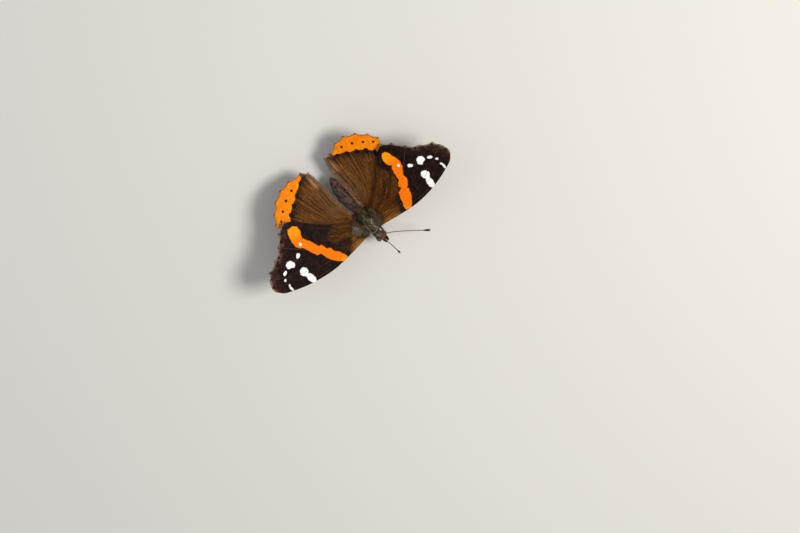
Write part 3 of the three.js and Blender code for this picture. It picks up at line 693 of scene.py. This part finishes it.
def body_colour(x, angle):
    """Colour of hair and skin: dark ringed abdomen with bluish-grey hair on its right side, partly painted
    light, olive thorax with pale curved lines along the shoulder covers, partly their pale rims and partly
    painted highlight where light glances on partings in the hair, and along the collar, red-brown head with
    pale marks, and a buff underside throughout."""
    half_width, half_height, middle_z, middle_y = body_profile(x)
    point = np.stack([x, half_width * np.sin(angle), middle_z + half_height * np.cos(angle)], -1)
    patch = mottle(point, 1.6, 3)
    fine = mottle(point, 0.6, 4)
    top = np.cos(angle)
    ring = np.exp(-(np.min(np.abs(x[..., None] - SEGMENT_EDGES - 0.12), axis=-1) / 0.2) ** 2)
    abdomen = blend(0.5 + 0.9 * patch, (0.026, 0.010, 0.005), (0.13, 0.055, 0.030))
    abdomen = blend(ring * (0.25 + 0.5 * fine), abdomen, (0.26, 0.20, 0.16))
    # Bluish-grey hair on the right side only: partly the hair's own colour, partly painted light where that
    # side stands lit.
    abdomen = blend(-np.sin(angle) * 1.2 - 0.1 + 0.8 * fine, abdomen, (0.085, 0.095, 0.098))
    thorax = blend(0.5 + 0.8 * patch, (0.026, 0.021, 0.005), (0.110, 0.080, 0.028))
    side = np.abs(point[..., 1])
    # Pale line round each shoulder cover: partly its pale rim, partly painted highlight where light glances
    # on partings in the hair.
    cover = np.sqrt(((x - 1.7) / 1.7) ** 2 + ((side - 1.75) / 0.85) ** 2)
    line = np.exp(-((cover - 1) / 0.16) ** 2) * (top > -0.1)
    collar = np.exp(-((x - 3.75 + 0.25 * side) / 0.16) ** 2) * (top > 0.1)
    thorax = blend(np.clip(line + collar, 0, 1) * (0.8 + 0.3 * fine), thorax, (0.50, 0.44, 0.30))
    thorax = blend(np.exp(-(cover / 0.75) ** 2) * (top > -0.1) * 0.6, thorax, (0.14, 0.130, 0.110))
    thorax = blend((-x - 2.4) / 1.5, thorax, (0.070, 0.040, 0.013))
    skull = blend(0.5 + 0.5 * patch, (0.050, 0.016, 0.007), (0.19, 0.060, 0.028))
    skull = blend(np.clip(fine * 2.4 - 1.2, 0, 1), skull, (0.60, 0.45, 0.36))
    colour = blend((x + 4.9) / 0.5, abdomen, thorax)
    colour = blend((x - 4.55) / 0.4, colour, skull)
    return blend((-top - 0.55) * 2.5, colour, (0.26, 0.19, 0.13))


def tinted_finish(name, roughness, specular, depth, grain):
    """A material that reads the colour kept on the piece and adds a fine grain of bumps."""
    f = Finish(name, roughness, specular)
    grains = f.noise(f.place(), grain, 3.0, 0.7)
    colour = f.mix(f.step(grains, 0.3, 0.75, 0.0, 0.45), f.read("tint", True), (0.012, 0.008, 0.006))
    return f.done(colour, grains, depth, 0.8)


skin_x = np.concatenate([[-16.42, -16.36, -16.28], np.linspace(-16.2, 7.3, 330), [7.4, 7.48]])
skin_angle = np.linspace(0, 2 * math.pi, 96, endpoint=False)
skin_grid_x, skin_grid_angle = np.meshgrid(skin_x, skin_angle, indexing="ij")
skin_rings = body_place(skin_grid_x, skin_grid_angle)
skin_quads, skin_fans = closed_tube(*skin_grid_x.shape)
skin_ends = np.array([(-16.46, 0.05, -1.75), turn_head((7.56, 0, -1.1))])
skin = surface("body_skin", np.concatenate([skin_rings.reshape(-1, 3), skin_ends]), skin_quads, skin_fans)
keep_value(skin, "tint", np.concatenate([
    body_colour(skin_grid_x, skin_grid_angle).reshape(-1, 3) * 0.7, np.full((2, 3), 0.03)]))
skin.data.materials.append(tinted_finish("body_cuticle", 0.55, 0.35, 0.05, 9.0))
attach(skin, "root")
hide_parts("head", "thorax", "abdomen")


# The hair of the body.
# Long soft hair over the thorax and the waist, short hair in rings along the abdomen, and bristly hair
# on the head. Each tuft is a closed, three-sided, tapered blade that lies back along the body and bends.

# A blade's rings, each a share of the length and a part of the width, its depth under the skin, its light
# at root and tip, and the size of its patch on the bake map
BLADE_RINGS = ((0.0, 0.8), (0.4, 1.0), (0.75, 0.6))
ROOT_DEPTH = 0.04
ROOT_LIGHT, TIP_LIGHT = 0.6, 1.35
BAKE_PATCH = (0.0015, 0.0012)


def hair_finish():
    """Soft, slightly shiny hair that reads the colour kept on each blade."""
    f = Finish("hair", 0.5, 0.1)
    return f.done(f.read("tint", True))


hair_material = hair_finish()


def blades(name, root, along, outward, length, width, lift, tint, unwrap, tip_light=TIP_LIGHT):
    """Closed tapered blades: the middle line leaves the root along its lie and rises by its lift, then
    bends back as a parabola; three corners ring it at 0, 40 and 75 hundredths of the length, and the tip
    is a point. The bake map puts each blade in a small patch at its root's place on the unwrap."""
    count = len(root)
    side = unit(np.cross(along, outward))
    width, lift = np.broadcast_to(width, count), np.broadcast_to(lift, count)
    corner = np.radians([90, 210, 330])
    rings, shares, patches = [], [], []
    for share, taper in BLADE_RINGS:
        middle = (root - outward * ROOT_DEPTH + along * (length * share)[:, None]
                  + outward * (length * lift * (share - 0.55 * share ** 2))[:, None])
        half = (width * taper)[:, None, None]
        rings.append(middle[:, None] + side[:, None] * np.cos(corner)[:, None] * half
                     + outward[:, None] * (np.sin(corner) * 0.55)[:, None] * half)
        shares += [share] * 3
        patches += [(BAKE_PATCH[0] * (share - 0.5), BAKE_PATCH[1] * math.cos(c)) for c in corner]
    tip = root + along * length[:, None] + outward * (length * lift * 0.45)[:, None]
    points = np.concatenate(rings + [tip[:, None]], axis=1)
    shares, patches = np.array(shares + [1.0]), np.array(patches + [(BAKE_PATCH[0] * 0.5, 0.0)])
    cell_quads = np.array([[r * 3 + c, r * 3 + (c + 1) % 3, r * 3 + 3 + (c + 1) % 3, r * 3 + 3 + c]
                           for r in range(2) for c in range(3)])
    cell_fans = np.array([[6 + c, 6 + (c + 1) % 3, 9] for c in range(3)] + [[2, 1, 0]])
    start = (np.arange(count) * 10)[:, None, None]
    quads, fans = (cell_quads + start).reshape(-1, 4), (cell_fans + start).reshape(-1, 3)
    piece = surface(name, points.reshape(-1, 3), quads, fans)
    light = ROOT_LIGHT + (tip_light - ROOT_LIGHT) * shares
    keep_value(piece, "tint", (tint[:, None] * light[None, :, None]).reshape(-1, 3))
    corners = np.concatenate([quads.ravel(), fans.ravel()])
    places = np.repeat(unwrap, 10, axis=0) + np.tile(patches, (count, 1))
    bake_map = piece.data.uv_layers.new(name="OFBake")
    bake_map.data.foreach_set("uv", places[corners].astype(np.float32).ravel())
    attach(piece, "root")
    piece.data.materials.append(hair_material)


def on_map(share):
    """A share from 0 to 1 as a place on the bake map, which keeps a margin of two hundredths."""
    return share * 0.96 + 0.02


def body_hair(name, count, low, high, length, width, lift, seed, splay):
    """Blades with roots spread evenly over the skin between two places along the body, each turned a
    little from straight back and lengthened or shortened by a seeded draw. The length is a function of
    the place along the body and the angle round it."""
    draw = np.random.default_rng(seed)
    x = draw.uniform(low, high, count * 2)
    half_width = body_profile(x)[0]
    kept = draw.uniform(0, 1, count * 2) < half_width / half_width.max()
    x = x[kept][:count]
    angle = draw.uniform(-math.pi, math.pi, len(x))
    point, back, outward = body_frame(x, angle)
    side = np.cross(back, outward)
    along = unit(back + side * draw.normal(0, splay, len(x))[:, None])
    vary = draw.uniform(0.65, 1.3, len(x))
    clump = mottle(point + 0.3 * draw.normal(size=point.shape) * width / 0.05, 0.75, seed + 70)
    tint = body_colour(x, angle) * np.exp(1.3 * clump + draw.normal(0, 0.45, len(x)) - 0.1)[:, None]
    tint = np.minimum(tint, 0.75)
    unwrap = np.stack([on_map((x + 17.5) / 25.4), on_map(angle / (2 * math.pi) + 0.5)], 1)
    blades(name, point, along, outward, length(x, angle) * vary, width,
           lift * draw.uniform(0.5, 1.6, len(x)), tint, unwrap)


body_hair("thorax_hair", 11500, -4.8, 4.5,
          lambda x, a: 1.2 + 0.8 * np.abs(np.sin(a)) ** 3 * (np.cos(a) > -0.2) + 0.6 * (x < -2.5),
          0.055, 0.8, 11, 0.55)
body_hair("waist_hair", 2600, -6.4, -2.9, lambda x, a: 1.1 + 0.5 * np.abs(np.sin(a)),
          0.05, 1.5, 14, 0.7)
body_hair("head_hair", 4200, 4.3, 7.4, lambda x, a: 0.45 + 0.45 * np.clip(6.0 - x, 0, 1),
          0.042, 0.95, 12, 0.7)
body_hair("abdomen_hair", 10500, -16.25, -4.4,
          lambda x, a: 0.85 + 0.05 * (x + 10) + 0.5 * np.clip(x + 6.5, 0, 1.5),
          0.05, 0.8, 13, 0.45)


# The eyes.
# Large, dark red-brown domes of many small facets on the sides of the head. Made as ellipsoids with poles
# to the left and right.
def dome(name, middle_point, radii, rows=40, around=64):
    """A whole ellipsoid with its poles on the y axis."""
    polar = np.linspace(0, math.pi, rows + 2)[1:-1]
    turn = np.linspace(0, 2 * math.pi, around, endpoint=False)
    polar, turn = np.meshgrid(polar, turn, indexing="ij")
    rings = np.stack([np.sin(polar) * np.sin(turn), -np.cos(polar), np.sin(polar) * np.cos(turn)], -1)
    quads, fans = closed_tube(rows, around)
    points = np.concatenate([rings.reshape(-1, 3), [(0, -1, 0), (0, 1, 0)]]) * radii + middle_point
    return surface(name, turn_head(points), quads[:, ::-1], fans[:, ::-1])


def eye_finish():
    """Dark red-brown with a fine honeycomb of facets under a weak gloss."""
    f = Finish("eye_facets", 0.28, 0.5)
    place = f.place()
    facets = f.cells(place, 14.0)
    colour = f.mix(f.noise(place, 1.2, 3.0, 0.6), (0.020, 0.008, 0.006), (0.085, 0.030, 0.016))
    f.shader.inputs["Coat Weight"].default_value = 0.25
    f.shader.inputs["Coat Roughness"].default_value = 0.15
    return f.done(colour, facets, 0.02, 0.5)


eye_material = eye_finish()
for side_name, side in SIDES.items():
    eye = dome(f"eye_{side_name}_facets", (6.15, side * 1.2, -0.8), (0.93, 0.66, 1.03))
    eye.data.materials.append(eye_material)
    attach(eye, "root")
    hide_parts(f"eye_{side_name}")


# The feelers and the tongue.
# Thin, ringed, jointed shafts that end in a black club with a buff tip, and a coiled sucking tube under the
# head. Made as round tubes along softened paths.
FEELERS = {"left": [(6.0, 1.05, 0.1), (5.95, 2.1, 0.75), (6.9, 3.9, 0.95), (9.6, 7.5, 1.0),
                    (13.8, 12.4, 0.4)],
           "right": [(6.41, -0.09, 0.1), (7.36, 1.05, 2.5), (8.84, 2.06, 7.0), (10.05, 3.06, 12.2)]}


def soft_path(points, steps, softness):
    """A path through the points with its corners rounded: the straight path taken at even steps, averaged
    over a window of the given length, with both ends kept. Returns points and the share along."""
    points = np.asarray(points, float)
    lengths = np.concatenate([[0], np.cumsum(np.linalg.norm(np.diff(points, axis=0), axis=1))])
    place = np.linspace(0, lengths[-1], steps)
    reach = np.minimum(softness, np.minimum(place, lengths[-1] - place) + 1e-9)
    window = np.linspace(-1, 1, 15)
    spread = place[:, None] + reach[:, None] * window
    path = np.stack([np.interp(spread, lengths, points[:, k]).mean(axis=1) for k in range(3)], -1)
    return path, place / lengths[-1]


def tube(name, path, radius, colours, sides=20, flatten=1.0):
    """A round tube along a path, closed by fans, with a colour for every ring. Each ring stands across
    the path, and its first axis is also at right angles to one upright direction."""
    upright = [0.13, 0.21, 0.97]
    ahead = unit(np.gradient(path, axis=0))
    first = unit(np.cross(ahead, upright))
    second = np.cross(ahead, first)
    angle = np.linspace(0, 2 * math.pi, sides, endpoint=False)
    radius = radius[:, None, None]
    around = first[:, None] * np.cos(angle)[:, None] + flatten * second[:, None] * np.sin(angle)[:, None]
    rings = path[:, None] + radius * around
    quads, fans = closed_tube(len(path), sides)
    ends = [path[0] - ahead[0] * radius[0, 0] * 0.3, path[-1] + ahead[-1] * radius[-1, 0] * 0.3]
    piece = surface(name, np.concatenate([rings.reshape(-1, 3), ends]), quads, fans)
    tints = np.concatenate([np.repeat(colours, sides, axis=0), colours[:1], colours[-1:]])
    keep_value(piece, "tint", tints)
    return piece


feeler_material = tinted_finish("feeler_scales", 0.5, 0.3, 0.02, 14.0)
for side_name in SIDES:
    path, share = soft_path(FEELERS[side_name], 420, 2.0)
    joint = 0.5 + 0.5 * np.cos(2 * math.pi * share * 44)
    club = np.clip((share - 0.82) / 0.08, 0, 1) ** 1.5 * np.clip((1.0 - share) / 0.035, 0, 1) ** 0.5
    radius = 0.115 + 0.012 * joint + 0.2 * club
    radius *= np.clip((1.004 - share) / 0.03, 0.12, 1) ** 0.5
    colours = blend(joint ** 3 * (share < 0.8), (0.095, 0.036, 0.014), (0.40, 0.22, 0.11))
    colours = blend((share - 0.80) / 0.05, colours, (0.014, 0.009, 0.007))
    colours = blend((share - 0.965) / 0.01, colours, (0.62, 0.42, 0.20))
    feeler = tube(f"feeler_{side_name}", path, radius, colours)
    feeler.data.materials.append(feeler_material)
    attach(feeler, "root")
    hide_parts(f"antenna_{side_name}")

coil_share = np.linspace(0, 1, 320)
coil_angle = math.radians(100) + 2 * math.pi * 2.6 * coil_share
coil_reach = 0.74 - 0.52 * coil_share
coil_path = turn_head(np.stack([7.15 + coil_reach * np.cos(coil_angle), 0 * coil_share,
                                -2.85 + coil_reach * np.sin(coil_angle)], -1))
coil_radius = (0.16 - 0.08 * coil_share) * (1 + 0.06 * np.cos(coil_share * 500))
tongue = tube("coiled_tongue", coil_path, coil_radius,
              blend(coil_share, (0.050, 0.022, 0.012), (0.12, 0.06, 0.03)), 18, 1.3)
tongue.data.materials.append(feeler_material)
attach(tongue, "root")
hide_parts("proboscis")


# The palps.
# Two furry, upturned mouth feelers in front of the head, brown above and whitish at the sides. Made as
# tapered tubes with blades that lie forward.
PALP = [(7.0, 0.42, -1.45), (7.5, 0.5, -1.3), (8.05, 0.42, -0.9), (8.3, 0.36, -0.65)]


def tube_hair(name, path, radius, count, length, width, lift, colour, seed):
    """Blades on a tube's surface that lie along its path, in colours given by a function of the share
    along the path and of the outward direction."""
    draw = np.random.default_rng(seed)
    share = draw.uniform(0, 1, count)
    steps = np.linspace(0, 1, len(path))
    pick = lambda values: np.stack([np.interp(share, steps, values[:, k]) for k in range(3)], -1)
    ahead = unit(pick(unit(np.gradient(path, axis=0))))
    outward = draw.normal(size=(count, 3))
    outward = unit(outward - ahead * np.sum(outward * ahead, axis=1, keepdims=True))
    along = unit(ahead + 0.25 * np.cross(ahead, outward) * draw.normal(size=(count, 1)))
    root = pick(path) + outward * np.interp(share, steps, radius)[:, None]
    unwrap = np.stack([on_map(share), 0.5 + 0.46 * outward[:, 1]], 1)
    vary = draw.uniform(0.7, 1.3, count)
    tint = colour(share, outward) * draw.uniform(0.6, 1.4, count)[:, None]
    blades(name, root, along, outward, length * vary, width, lift * vary, tint, unwrap)


def palp_colour(share, outward):
    """Brown on top and at the tip, whitish at the sides and below."""
    return blend((outward[:, 2] + 0.4) * 2.2 + share * 0.4, (0.40, 0.32, 0.25), (0.065, 0.022, 0.012))


palp_material = tinted_finish("palp_cuticle", 0.6, 0.25, 0.03, 9.0)
for side_name, side in SIDES.items():
    path, share = soft_path(turn_head(np.array(PALP) * (1, side, 1)), 120, 0.5)
    radius = np.interp(share, [0, 0.4, 0.8, 1.0], [0.3, 0.33, 0.2, 0.04])
    palp = tube(f"palp_{side_name}_core", path, radius, np.full((len(path), 3), (0.12, 0.07, 0.045)))
    palp.data.materials.append(palp_material)
    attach(palp, "root")
    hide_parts(f"palp_{side_name}")
    tube_hair(f"palp_{side_name}_hair", path, radius, 900, 0.42, 0.03, 0.5, palp_colour, 21)


# The legs.
# Four walking legs with thick thighs, thin shanks with short spines and jointed feet, and two small, furry
# forelegs folded under the head. Made as tubes along the bent path of each leg.
ANKLE, HEEL, TOE = (height - HINGE_HEIGHT for height in (0.4, 0.17, 0.15))
MIDLEG = [(0.8, 0.9, -2.2), (2.2, 5.6, -1.9), (1.4, 9.2, ANKLE), (1.9, 10.2, HEEL), (2.9, 12.4, TOE)]
WALKING_LEGS = {
    "midleg_left": MIDLEG,
    "midleg_right": [(x, -y, z) for x, y, z in MIDLEG],
    "hindleg_left": [(-2.2, 0.9, -2.2), (-5, 3.7, -2.1), (-11, 1.7, ANKLE),
                     (-12.2, 1.2, HEEL), (-15.6, -0.6, TOE)],
    "hindleg_right": [(-2.2, -0.9, -2.2), (-5, -3.9, -2.1), (-10.6, -3.9, ANKLE),
                      (-11.8, -3.6, HEEL), (-15.1, -2.7, TOE)]}
FOOT_JOINTS = [0.0, 0.42, 0.6, 0.75, 0.87]
FORELEG = [(3.0, 0.8, -2.4), (4.2, 1.2, -3.3), (5.1, 1.4, -3.3), (5.6, 1.45, -3.2)]


def leg_colour(share, outward=None):
    """Brown-grey scales on the thigh and cream on shank and foot, whichever way the hair points."""
    return blend((share - 0.25) * 5, (0.20, 0.14, 0.09), (0.80, 0.68, 0.52))


leg_material = tinted_finish("leg_cuticle", 0.5, 0.35, 0.03, 10.0)
for leg_name, points in WALKING_LEGS.items():
    path, share = soft_path(points, 400, 0.5)
    bends = np.concatenate([[0], np.cumsum(np.linalg.norm(np.diff(points, axis=0), axis=1))])
    bends /= bends[-1]
    knee, ankle = bends[1:3]
    radius = np.interp(share, [0, knee * 0.4, knee - 0.01, knee + 0.04, ankle, ankle + 0.01, 1],
                       [0.30, 0.36, 0.22, 0.22, 0.2, 0.15, 0.12])
    foot = np.clip((share - ankle) / (1 - ankle), 0, 1)
    joint = np.min(np.abs(foot[:, None] - FOOT_JOINTS), axis=1)
    radius = radius * (1 - 0.28 * np.exp(-(joint / 0.02) ** 2) * (foot > 0))
    leg = tube(f"{leg_name}_shaft", path, radius, leg_colour(share) * 0.9)
    leg.data.materials.append(leg_material)
    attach(leg, "root")
    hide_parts(leg_name)
    tube_hair(f"{leg_name}_hair", path, radius, 1500, 0.26, 0.022, 0.45, leg_colour, 31)

for side_name, side in SIDES.items():
    path, share = soft_path(np.array(FORELEG) * (1, side, 1), 160, 0.5)
    radius = np.interp(share, [0, 0.4, 1.0], [0.2, 0.2, 0.1])
    leg = tube(f"foreleg_{side_name}_shaft", path, radius, np.full((len(path), 3), (0.08, 0.05, 0.03)))
    leg.data.materials.append(leg_material)
    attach(leg, "root")
    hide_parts(f"foreleg_{side_name}")
    tube_hair(f"foreleg_{side_name}_hair", path, radius, 1200, 0.5, 0.028, 0.5,
              lambda s, o: blend(s, (0.10, 0.06, 0.04), (0.16, 0.10, 0.07)), 41)


# The hair of the wings.
# Long, fine, golden hair fans from the roots over both pairs of wings, hair lies along the hindwings' inner
# edge, and the thorax's ragged hair spills over the forewings' roots. A short fringe of hair scales runs
# along every outer margin, pale between the veins.

# Light of a wing hair's tip, row that carries the fringe, rows of the plan near the root, and the greyish
# tuft on the forewing: its middle, its reach and its share of the root hair
FINE_TIP_LIGHT = 1.15
FRINGE_ROW = 0.999
ROOT_ROWS = 90
TUFT_PLACE, TUFT_REACH = (-0.35, 3.45), 0.85
TUFT_SHARE = {"left": 0.0, "right": 0.13}


def plan_place(plan, t, s):
    """Place in the flat wing for vein counts t and shares s, read off the plan by linear steps."""
    x, y = plan[:2]
    rows, cols = x.shape
    row, col = s * (rows - 1), t / plan[3].max() * (cols - 1)
    r, c = np.minimum(row.astype(int), rows - 2), np.minimum(col.astype(int), cols - 2)
    a, b = row - r, col - c
    pick = lambda g: (g[r, c] * (1 - a) * (1 - b) + g[r + 1, c] * a * (1 - b) + g[r, c + 1] * (1 - a) * b
                      + g[r + 1, c + 1] * a * b)
    return pick(x), pick(y)


def wing_hair(name, plan, placing, t, s, length, width, lift, tint, seed, outward_turn=0.0, splay=0.1):
    """Blades on a wing's upper face that follow the veins outwards, or cross an edge by a turn."""
    draw = np.random.default_rng(seed)
    x, y = plan_place(plan, t, s)
    back = np.minimum(s, 0.98)
    x_on, y_on = plan_place(plan, t, back + 0.02)
    x_at, y_at = plan_place(plan, t, back)
    heading = np.arctan2(y_on - y_at, x_on - x_at) + draw.normal(0, splay, len(t)) + outward_turn
    step = 0.05
    flat = wing_place(x, y, WING_HALF, **placing)
    ahead = wing_place(x + step * np.cos(heading), y + step * np.sin(heading), WING_HALF, **placing) - flat
    beside = wing_place(x - step * np.sin(heading), y + step * np.cos(heading), WING_HALF, **placing) - flat
    outward = np.cross(ahead, beside)
    outward = unit(outward * np.sign(outward[:, 2:]))
    unwrap = np.stack([on_map((x + 26) / 34), on_map(y / 35)], 1)
    blades(name, flat, unit(ahead), outward, length, width, lift, tint, unwrap, FINE_TIP_LIGHT)


def fringe(name, plan, placing, dark, pale, seed, first=0):
    """Hair scales along the outer margin, dark where a vein ends and pale midway between two veins."""
    draw = np.random.default_rng(seed)
    count = 1400
    t = draw.uniform(first, plan[3].max(), count)
    length = draw.uniform(0.18, 0.38, count)
    colour = blend(6 * np.sin(math.pi * (t % 1)) ** 2 - 0.3, dark, pale)
    wing_hair(name, plan, placing, t, np.full(count, FRINGE_ROW), length, 0.035, 0.05,
              colour * draw.uniform(0.7, 1.2, count)[:, None], seed + 1)


def bundle_colour(draw, t, s, middle, seed, dark, gold):
    """Hair in bundles: mixed from dark to gold by slow blotches along the veins and by a seeded draw."""
    count = len(t)
    blotches = mottle(np.stack([t * 9, s * 2, 0 * t], 1), 2.2, seed)
    bundle = middle + 0.5 * blotches + draw.normal(0, 0.3, count)
    return blend(bundle, dark, gold) * draw.uniform(0.7, 1.2, count)[:, None]


def hindwing_hair(draw, side_name):
    """Long hair over the inner half of a hindwing, closer and paler towards the abdomen."""
    count = 5200
    t = 8 - 5.2 * draw.beta(1.0, 1.5, count)
    s = draw.uniform(0.02, 0.62, count) ** 0.9
    gold = blend((t - 5.5) / 2.0, (0.38, 0.150, 0.030), (0.50, 0.235, 0.085))
    tint = bundle_colour(draw, t, s, 0.5, 60, (0.050, 0.018, 0.004), gold)
    wing_hair(f"hindwing_{side_name}_hair", hindwing_plans[side_name], HIND_PLACING[side_name], t, s,
              draw.uniform(0.9, 2.2, count), 0.022, 0.10, tint, 56)


def inner_edge_hair(draw, side_name):
    """Hair that stands out from a hindwing's inner edge, longer towards the root."""
    count = 2600
    t = 8 - draw.uniform(0, 0.25, count)
    s = draw.uniform(0.03, 0.98, count)
    near_root = np.clip(1 - 2.5 * s, 0, 1)
    tint = blend(draw.uniform(0, 1, count), (0.10, 0.060, 0.040), (0.42, 0.27, 0.17))
    length = draw.uniform(0.6, 1.3, count) + 0.9 * near_root
    wing_hair(f"hindwing_{side_name}_edge_hair", hindwing_plans[side_name], HIND_PLACING[side_name], t, s,
              length, 0.032, 0.15, tint, 57, 0.45 + 0.5 * near_root, 0.25)


def forewing_hair(draw, side_name):
    """Shorter hair that fans from a forewing's root, golden at its front."""
    count = 3200
    t = draw.uniform(0.1, 8.8, count)
    s = draw.uniform(0.02, 0.21, count) * (1 + 0.4 * np.clip(t - 3, 0, 1))
    gold = blend((2.2 - t) / 1.5, (0.17, 0.058, 0.010), (0.60, 0.25, 0.045))
    tint = bundle_colour(draw, t, s, 0.45, 61, (0.040, 0.015, 0.003), gold)
    wing_hair(f"forewing_{side_name}_hair", forewing_plan, FORE_PLACING[side_name], t, s,
              draw.uniform(0.6, 1.5, count), 0.022, 0.10, tint, 58)


def root_hair(draw, side_name):
    """The thorax's hair over a forewing's root, olive near the body, with a round greyish tuft that has a
    pale rim on the right. A blade's root is the nearest point of the plan."""
    count = 5200
    across = draw.gamma(1.2, 0.5, count)
    lengthwise = draw.uniform(-2.6, 2.5, count) * (1 - 0.10 * across)
    in_tuft = draw.uniform(0, 1, count) < TUFT_SHARE[side_name]
    turned = draw.uniform(0, 6.28, count)
    reach = TUFT_REACH * draw.uniform(0, 1, count) ** 0.5
    x = np.where(in_tuft, TUFT_PLACE[0] + reach * np.cos(turned), lengthwise)
    y = np.where(in_tuft, TUFT_PLACE[1] + reach * np.sin(turned), ROOT_Y + across)
    inner_x, inner_y = fx[:ROOT_ROWS], fy[:ROOT_ROWS]
    near = [np.argmin((inner_x - a) ** 2 + (inner_y - b) ** 2) for a, b in zip(x, y)]
    nearest = np.unravel_index(near, inner_x.shape)
    rim = np.where(in_tuft, np.exp(-((reach - 0.8) / 0.2) ** 2), 0) * draw.uniform(0.2, 1.1, count)
    patch = mottle(np.stack([x, y, 0 * x], 1), 0.9, 62) + draw.normal(0, 0.35, count)
    tint = blend(0.35 + 0.7 * patch, (0.026, 0.012, 0.003), (0.17, 0.080, 0.026))
    olive = blend(0.4 + 0.7 * patch, (0.024, 0.017, 0.005), (0.14, 0.100, 0.048))
    is_olive = (across < 0.25 + 0.5 * draw.uniform(0, 1, count)) & ~in_tuft
    tint = np.where(is_olive[:, None], olive, tint)
    tint = blend(np.where(in_tuft, 0.7, 0.2) * (0.5 + patch) - 0.1 * across, tint, (0.15, 0.15, 0.14))
    wing_hair(f"root_hair_{side_name}", forewing_plan, FORE_PLACING[side_name], ft[nearest], fs[nearest],
              draw.uniform(0.6, 1.8, count), 0.036, np.where(in_tuft, 0.6, 0.3),
              blend(rim, tint, (0.50, 0.38, 0.28)), 59, -0.7, 0.6)


for side_name in SIDES:
    fringe(f"forewing_{side_name}_fringe", forewing_plan, FORE_PLACING[side_name],
           (0.02, 0.012, 0.009), (0.33, 0.26, 0.21), 51, 1.2)
    fringe(f"hindwing_{side_name}_fringe", hindwing_plans[side_name], HIND_PLACING[side_name],
           (0.05, 0.02, 0.01), (0.50, 0.28, 0.12), 53)
    draw = np.random.default_rng(55)
    hindwing_hair(draw, side_name)
    inner_edge_hair(draw, side_name)
    forewing_hair(draw, side_name)
    root_hair(draw, side_name)
